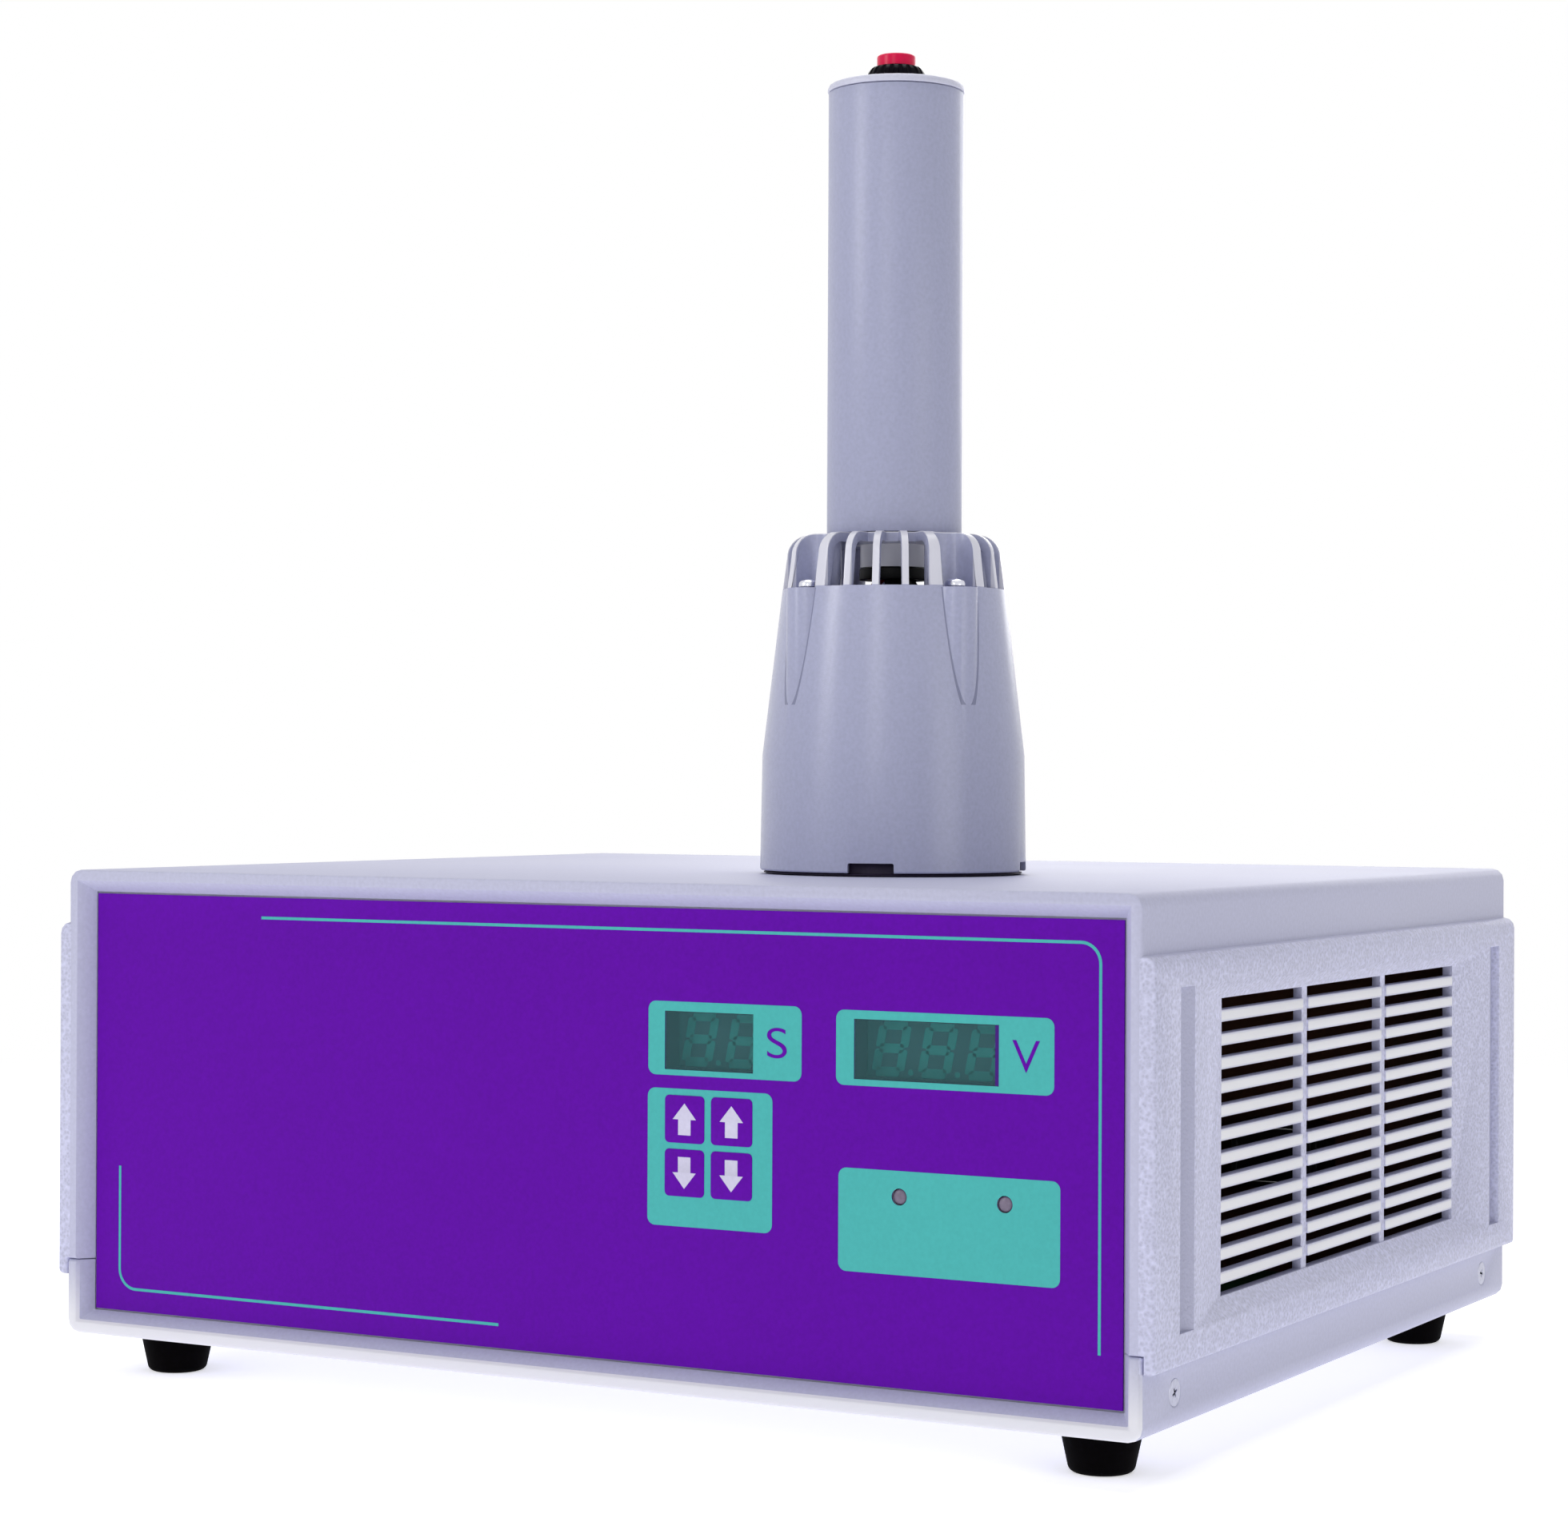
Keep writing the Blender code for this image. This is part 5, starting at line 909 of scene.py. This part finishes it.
def prism(name, outline, low, high):
    """An upright prism: a filled outline, raised from one height to another."""
    bpy.ops.mesh.primitive_circle_add(vertices=len(outline), radius=0.01, fill_type="NGON")
    piece = bpy.context.object
    piece.name = name
    for vert, (x, y) in zip(piece.data.vertices, outline):
        vert.co = (x, y, low)
    editing(piece, "FACE")
    bpy.ops.mesh.select_all(action="SELECT")
    bpy.ops.mesh.extrude_region_move(TRANSFORM_OT_translate={"value": (0, 0, high - low)})
    closed_up()
    bpy.ops.object.transform_apply()
    return piece


def swung(piece, angle):
    """Turns a piece about the head's axis."""
    piece.data.transform(Matrix.Rotation(angle, 4, "Z"))
    return piece


def pocket_plan(radius):
    """The outline of a pocket: round at its back and open at its mouth."""
    return bend((POCKET_OUT, 0), radius, 90, 270, 16) + [(MOUTH, -radius), (MOUTH, radius)]


def vent_side(bearing, half):
    """One side of a vent, half a rib beside a bearing, from near the neck to the mouth."""
    side = []
    for radius in (VENT_START, MOUTH):
        along = sqrt(radius ** 2 - half * half)
        side.append((along * cos(bearing) - half * sin(bearing), along * sin(bearing) + half * cos(bearing)))
    return side


low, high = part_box("coil_plate")
HEAD_Z = low.z
HEAD_TURN = radians(18)
HEAD_MIDDLE = Matrix.Translation(((low.x + high.x) / 2, (low.y + high.y) / 2, HEAD_Z))
HEAD = HEAD_MIDDLE @ Matrix.Rotation(HEAD_TURN, 4, "Z")
TOP_Z = 92.2 * MM
ROOF_Z = 83.5 * MM
LEDGE_Z = 77 * MM
CONE_Z = 32 * MM
RIM_Z = 0.7 * MM
SHOULDER = (23.4 * MM, 86.2 * MM)
CAGE_ROUND = 6 * MM
CAGE_WALL = 2.6 * MM
CONE_TOP = 30.6 * MM
CONE_FOOT = 35.9 * MM
SKIRT = 36.4 * MM
WALL = 2.4 * MM
NECK_HOLE = 9.3 * MM
POCKET_OUT = 26.7 * MM
POCKET = 5.5 * MM
POCKET_WALL = 2 * MM
MOUTH = 40 * MM
BOSS_OUT = 28.5 * MM
BOSS = 5.8 * MM
BOSS_INSIDE = 45 * MM
VENT_SILL = LEDGE_Z + 0.3 * MM
VENT_PITCH = radians(15.2)
VENT_START = 19 * MM
RIB = 0.9 * MM  # half its width
WIDE_RIB = 1.2 * MM  # half its width
CLEAR = 95 * MM  # above everything
NOTCH = 6.2 * MM  # half its width
NOTCH_START = 30 * MM
NOTCH_END = 42 * MM
NOTCH_HIGH = 3.3 * MM
SEAM_TURN = radians(0.55)  # keeps the facets of the bell off those of the bosses

outer = [(0, TOP_Z)] + bend(SHOULDER, CAGE_ROUND, 90, 0, 10)
outer += [(CONE_TOP, LEDGE_Z), (CONE_FOOT, CONE_Z)]
outer += [(SKIRT, RIM_Z + 0.4 * MM), (SKIRT - 0.3 * MM, RIM_Z), (0, RIM_Z)]
bell = swung(turned("bell_moulding", outer, 144), SEAM_TURN)
hollow = [(0, ROOF_Z), (NECK_HOLE, ROOF_Z), (NECK_HOLE, TOP_Z - CAGE_WALL)]
hollow += bend(SHOULDER, CAGE_ROUND - CAGE_WALL, 90, 0, 5)
hollow += [(CONE_TOP - WALL, LEDGE_Z), (CONE_FOOT - WALL, CONE_Z)]
hollow += [(SKIRT - WALL, RIM_Z), (SKIRT - WALL, -MM), (0, -MM)]
cavity = turned("bell_cavity", hollow, 96)
quarters = [radians(90 * i - 45) for i in range(4)]
for angle in quarters:
    wall = prism("pocket_wall", pocket_plan(POCKET + POCKET_WALL), LEDGE_Z - 2 * MM, CLEAR)
    carve(cavity, swung(wall, angle))
    post = prism("boss_post", bend((BOSS_OUT, 0), BOSS, 0, 345, 23), BOSS_INSIDE, LEDGE_Z - MM)
    carve(cavity, swung(post, angle))
    boss = prism("boss", bend((BOSS_OUT, 0), BOSS, 0, 356.25, 95), CONE_Z, LEDGE_Z)
    carve(bell, swung(boss, angle), "UNION")
carve(bell, cavity)
for angle in quarters:
    carve(bell, swung(prism("screw_pocket", pocket_plan(POCKET), LEDGE_Z, CLEAR), angle))
    front = angle - pi / 4
    for j in range(4):
        first = front + VENT_PITCH * (j - 2)
        near_side = vent_side(first, WIDE_RIB if j == 0 else RIB)
        far_side = vent_side(first + VENT_PITCH, -(WIDE_RIB if j == 3 else RIB))
        carve(bell, prism("vent", near_side + far_side[::-1], VENT_SILL, CLEAR))
    notch = block("rim_notch", (NOTCH_START, -NOTCH, -2 * MM), (NOTCH_END, NOTCH, NOTCH_HIGH), 0.5 * MM, 3, 0)
    carve(bell, swung(notch, front))
rounded(bell, 0.35 * MM, 6, 38)


def away(across, along):
    """How far a point lies from an axis, from its two distances."""
    tree = across.id_data
    flat = node(tree, "CombineXYZ")
    reach = node(tree, "VectorMath", operation="LENGTH")
    join((across, flat.inputs[0]), (along, flat.inputs[1]), (flat.outputs[0], reach.inputs[0]))
    return reach.outputs["Value"]


# Painted light: the ribs and the roof of the cage are painted a paler tone, and so is the neck inside it.
# Painted shade: a darker line runs in the crease round each of the four bosses that run out on the cone.
RIB_AND_NECK_LIGHT_COLOUR = (226, 226, 238)
CREASE_SHADE_COLOUR = (132, 135, 164)
CREASE = 6.02 * MM
CREASE_WIDE = 0.18 * MM  # half its width
CREASE_MIDDLE = 61.2 * MM
CREASE_LONG = 15.7 * MM  # half its length
NECK = 10.5 * MM
# Painted light: the bell's tone of the head's lavender-grey plastic is painted a little lighter than the
# handle's.
bell_finish = moulded("bell_plastic", (174, 177, 205), 0.24, grain=0.3, depth=0.028, drift=0.045)
tree = bell_finish.node_tree
x, y, z = places(bell_finish, HEAD.translation)
radius = away(x, y)
plan = node(tree, "CombineXYZ")
square = node(tree, "VectorRotate", rotation_type="Z_AXIS", Angle=-HEAD_TURN)
folded = node(tree, "VectorMath", operation="ABSOLUTE")
apart = node(tree, "VectorMath", operation="DISTANCE")
apart.inputs[1].default_value = (BOSS_OUT * cos(pi / 4), BOSS_OUT * sin(pi / 4), 0)
join(
    (x, plan.inputs[0]),
    (y, plan.inputs[1]),
    (plan.outputs[0], square.inputs["Vector"]),
    (square.outputs[0], folded.inputs[0]),
    (folded.outputs[0], apart.inputs[0]),
)
crease = overlap(
    sums("COMPARE", apart.outputs["Value"], CREASE, CREASE_WIDE),
    sums("COMPARE", z, CREASE_MIDDLE, CREASE_LONG),
)
out = sums("MAXIMUM", sums("SUBTRACT", radius, SHOULDER[0]), 0)
up = sums("MAXIMUM", sums("SUBTRACT", z, SHOULDER[1]), 0)
rib = overlap(
    sums("GREATER_THAN", away(out, up), CAGE_ROUND - 0.25 * MM),
    sums("GREATER_THAN", z, LEDGE_Z + 0.45 * MM),
)
# Painted shade in the creases round the bosses, then painted light on the ribs, the cage's roof and the neck.
painted(bell_finish, crease, CREASE_SHADE_COLOUR)
painted(bell_finish, sums("MAXIMUM", rib, sums("LESS_THAN", radius, NECK)), RIB_AND_NECK_LIGHT_COLOUR)
headed(bell, bell_finish, instead=["bell_housing"], smooth=16)

# Bell screws: four pan-headed screws of bright zinc-plated steel on the ledges of the pockets. They run down
# through the bosses and pull the coil plate to the bell.
PAN = 2.8 * MM
PAN_TALL = 2.3 * MM
PAN_FLAT = 0.35  # share of its height under the dome
SCREW_OUT = 28.2 * MM
SCREW_LONG = 30 * MM
pan_arc = [radians(18 * i) for i in range(5)]
pan_profile = [(PAN * sin(a), PAN_TALL * (PAN_FLAT + (1 - PAN_FLAT) * cos(a))) for a in pan_arc]
pan_profile += [(PAN, 0.5 * MM), (PAN, 0.1 * MM), (SHANK, 0), (SHANK, -SCREW_LONG), (0, -SCREW_LONG)]
pan = cross_head("pan_head", pan_profile, PAN, PAN_TALL)
for i, angle in enumerate(quarters):
    piece = twin(pan, f"pan_head_screw_{i + 1}")
    seat = Matrix.Translation((SCREW_OUT * cos(angle), SCREW_OUT * sin(angle), LEDGE_Z + 0.3 * MM))
    piece.matrix_world = seat @ Matrix.Rotation(0.5 + i, 4, "Z")
    headed(piece, steel_finish, instead=[f"bell_screw_{i + 1}"])
bpy.data.objects.remove(pan)

# Coil plate: a dark moulded plate of heat-proof resin closes the bell from below. The flat copper coil lies
# on it, under a cap of fired ferrite.
plate_finish = moulded("coil_plate_resin", (34, 24, 48), 0.5, grain=0.4, depth=0.03, drift=0.15, gloss=0.2)
dressed("coil_plate", "sealing_face", 0.15, plate_finish)
coat("induction_coil", copper_finish)
coat("ferrite_core", ferrite_finish)

# Neck: a bush and a knurled nut, both of black plastic, hold the handle to the bell. The leads of the coil
# run down through them, stranded copper in soft red and black insulation.
nut_finish = moulded("nut_plastic", (6, 6, 8), 0.5, grain=0.3, depth=0.02, drift=0.15, gloss=0.15)
dressed("neck_bush", "neck_sleeve", 0.2, nut_finish)
dressed("neck_nut", "neck_ring", 0.2, nut_finish)
red_finish = moulded("red_insulation", (176, 20, 34), 0.4, grain=0.5, depth=0.02, drift=0.1)


def wire(name, points, radius, material, instead=()):
    """A lead: a smooth curve through its points with a round section, made a mesh."""
    bpy.ops.curve.primitive_bezier_curve_add()
    piece = bpy.context.object
    piece.name = name
    piece.data.splines.clear()
    spline = piece.data.splines.new("BEZIER")
    spline.bezier_points.add(len(points) - 1)
    for point, at in zip(spline.bezier_points, points):
        point.co = at
        point.handle_left_type = "AUTO"
        point.handle_right_type = "AUTO"
    piece.data.bevel_depth = radius
    piece.data.bevel_resolution = 4
    piece.data.resolution_u = 8
    piece.data.use_fill_caps = True
    bpy.ops.object.convert(target="MESH")
    piece = bpy.context.object
    headed(piece, material, instead=instead)


# How far out a lead runs at each height, in mm. A thin sensor lead runs straight down between the two.
LEAD_WAY = (
    (3.2, 116.5), (3.2, 90), (3.3, 81.4), (4.6, 79.6), (6, 77), (7.4, 74), (8.6, 69), (9, 60), (9, 20),
)
LEAD = 1.3 * MM
SENSOR_WAY = (116.5, 90, 60, 30)
SENSOR_LEAD = 0.8 * MM
for name, way, material, slot in (("red_lead", -1, red_finish, "red_lead"),
                                  ("black_lead", 1, black_finish, "black_plastic")):
    points = [(way * out * MM, 0, height * MM) for out, height in LEAD_WAY]
    wire(name + "_wire", points, LEAD, material, [name])
wire("sensor_lead_wire", [(0, 0, height * MM) for height in SENSOR_WAY], SENSOR_LEAD, red_finish)

# Sensor sleeve: heat-shrunk black plastic over the sensor lead's joint under the nut. It is wider round the
# joint and grips the lead below it. Its profile is in mm.
SLEEVE = ((0.9, 89), (1.7, 89), (1.8, 81.4), (2.7, 80.2), (2.7, 79.4), (1.5, 76.4), (1.4, 62), (0.9, 62))
sleeve = turned("sensor_sleeve", [(out * MM, height * MM) for out, height in SLEEVE], 24, closed=True)
headed(sleeve, nut_finish)

# Handle: a plain tube, moulded in the lavender-grey plastic of the bell and screwed on the neck. Its cap is
# glued in and carries the push button, and a rubber bush lines the hole of the cable low in its side.
# The handle's tone of the same plastic is a little darker than the bell's; the difference is painted light
# and shade.
grip_finish = moulded("head_plastic", (166, 169, 197), 0.36, grain=0.3, depth=0.028, drift=0.045)
dressed("handle_tube", "grip_tube", 0.3, grip_finish)
# Painted light: the cap is painted paler than the handle's plastic, for the light on its rounded top.
lit_cap_finish = moulded("cap_plastic", (206, 207, 226), 0.4, grain=0.3, depth=0.028, drift=0.03)
dressed("handle_cap", "grip_cap", 0.2, lit_cap_finish)
dressed("handle_cable_bush", "handle_grommet", 0.3, rubber_finish)

# Push button: a glossy black knurled bezel, screwed through the cap to the switch under it. Inside it a red
# moulded button slides on its spring.
SEAT = 215.9 * MM
CROWN = SEAT + 5 * MM
CROWN_WIDE = 2.4 * MM
CROWN_TALL = 4.2 * MM
BEZEL = 8.2 * MM
BEZEL_HOLE = 5.6 * MM
KNURLS = 20
KNURL = 0.75 * MM
KNURL_OUT = BEZEL + 0.2 * MM
KNURL_LEAN = -0.45
BUTTON = 5.3 * MM
BUTTON_ROUND = 0.6 * MM
BUTTON_FACE = 4.3 * MM
BUTTON_DISH = 0.05 * MM
BUTTON_SHANK = 3 * MM
BUTTON_FLOOR = SEAT + 2.8 * MM
gloss_finish = moulded("glossy_black", (6, 3, 14), 0.12, grain=0.8, depth=0.01, drift=0.2, gloss=0.3)
gloss_finish.node_tree.nodes["Principled BSDF"].inputs["IOR"].default_value = 1.2
button_red = moulded("red_button", (224, 5, 74), 0.3, grain=0.4, depth=0.01, drift=0.05, gloss=0.25)
crown_arc = [radians(90 - 10 * i) for i in range(10)]
ring = [(BEZEL_HOLE, SEAT), (BEZEL_HOLE, CROWN)]
ring += [(BEZEL - CROWN_WIDE * (1 - cos(a)), CROWN - CROWN_TALL * (1 - sin(a))) for a in crown_arc]
ring += [(BEZEL, SEAT)]
bezel = turned("knurled_bezel", ring, 96, closed=True)
for i in range(KNURLS):
    angle = 2 * pi * i / KNURLS
    spot = (KNURL_OUT * cos(angle), KNURL_OUT * sin(angle), SEAT + 2.4 * MM)
    bpy.ops.mesh.primitive_cylinder_add(vertices=16, radius=KNURL, depth=6 * MM, location=spot)
    knurl = bpy.context.object
    knurl.rotation_euler = (0, KNURL_LEAN, angle)
    carve(bezel, knurl)
headed(bezel, gloss_finish, instead=["button_bezel"])
low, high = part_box("seal_button")
top = high.z - HEAD_Z
foot = low.z - HEAD_Z
press = [(0, top - BUTTON_DISH), (BUTTON_FACE, top)]
press += bend((BUTTON - BUTTON_ROUND, top - BUTTON_ROUND), BUTTON_ROUND, 90, 0, 4)
press += [(BUTTON, BUTTON_FLOOR), (BUTTON_SHANK, BUTTON_FLOOR), (BUTTON_SHANK, foot), (0, foot)]
push = turned("red_push_button", press, 64)
headed(push, button_red, "seal_button", ["seal_button"])
coat("button_switch", black_finish)
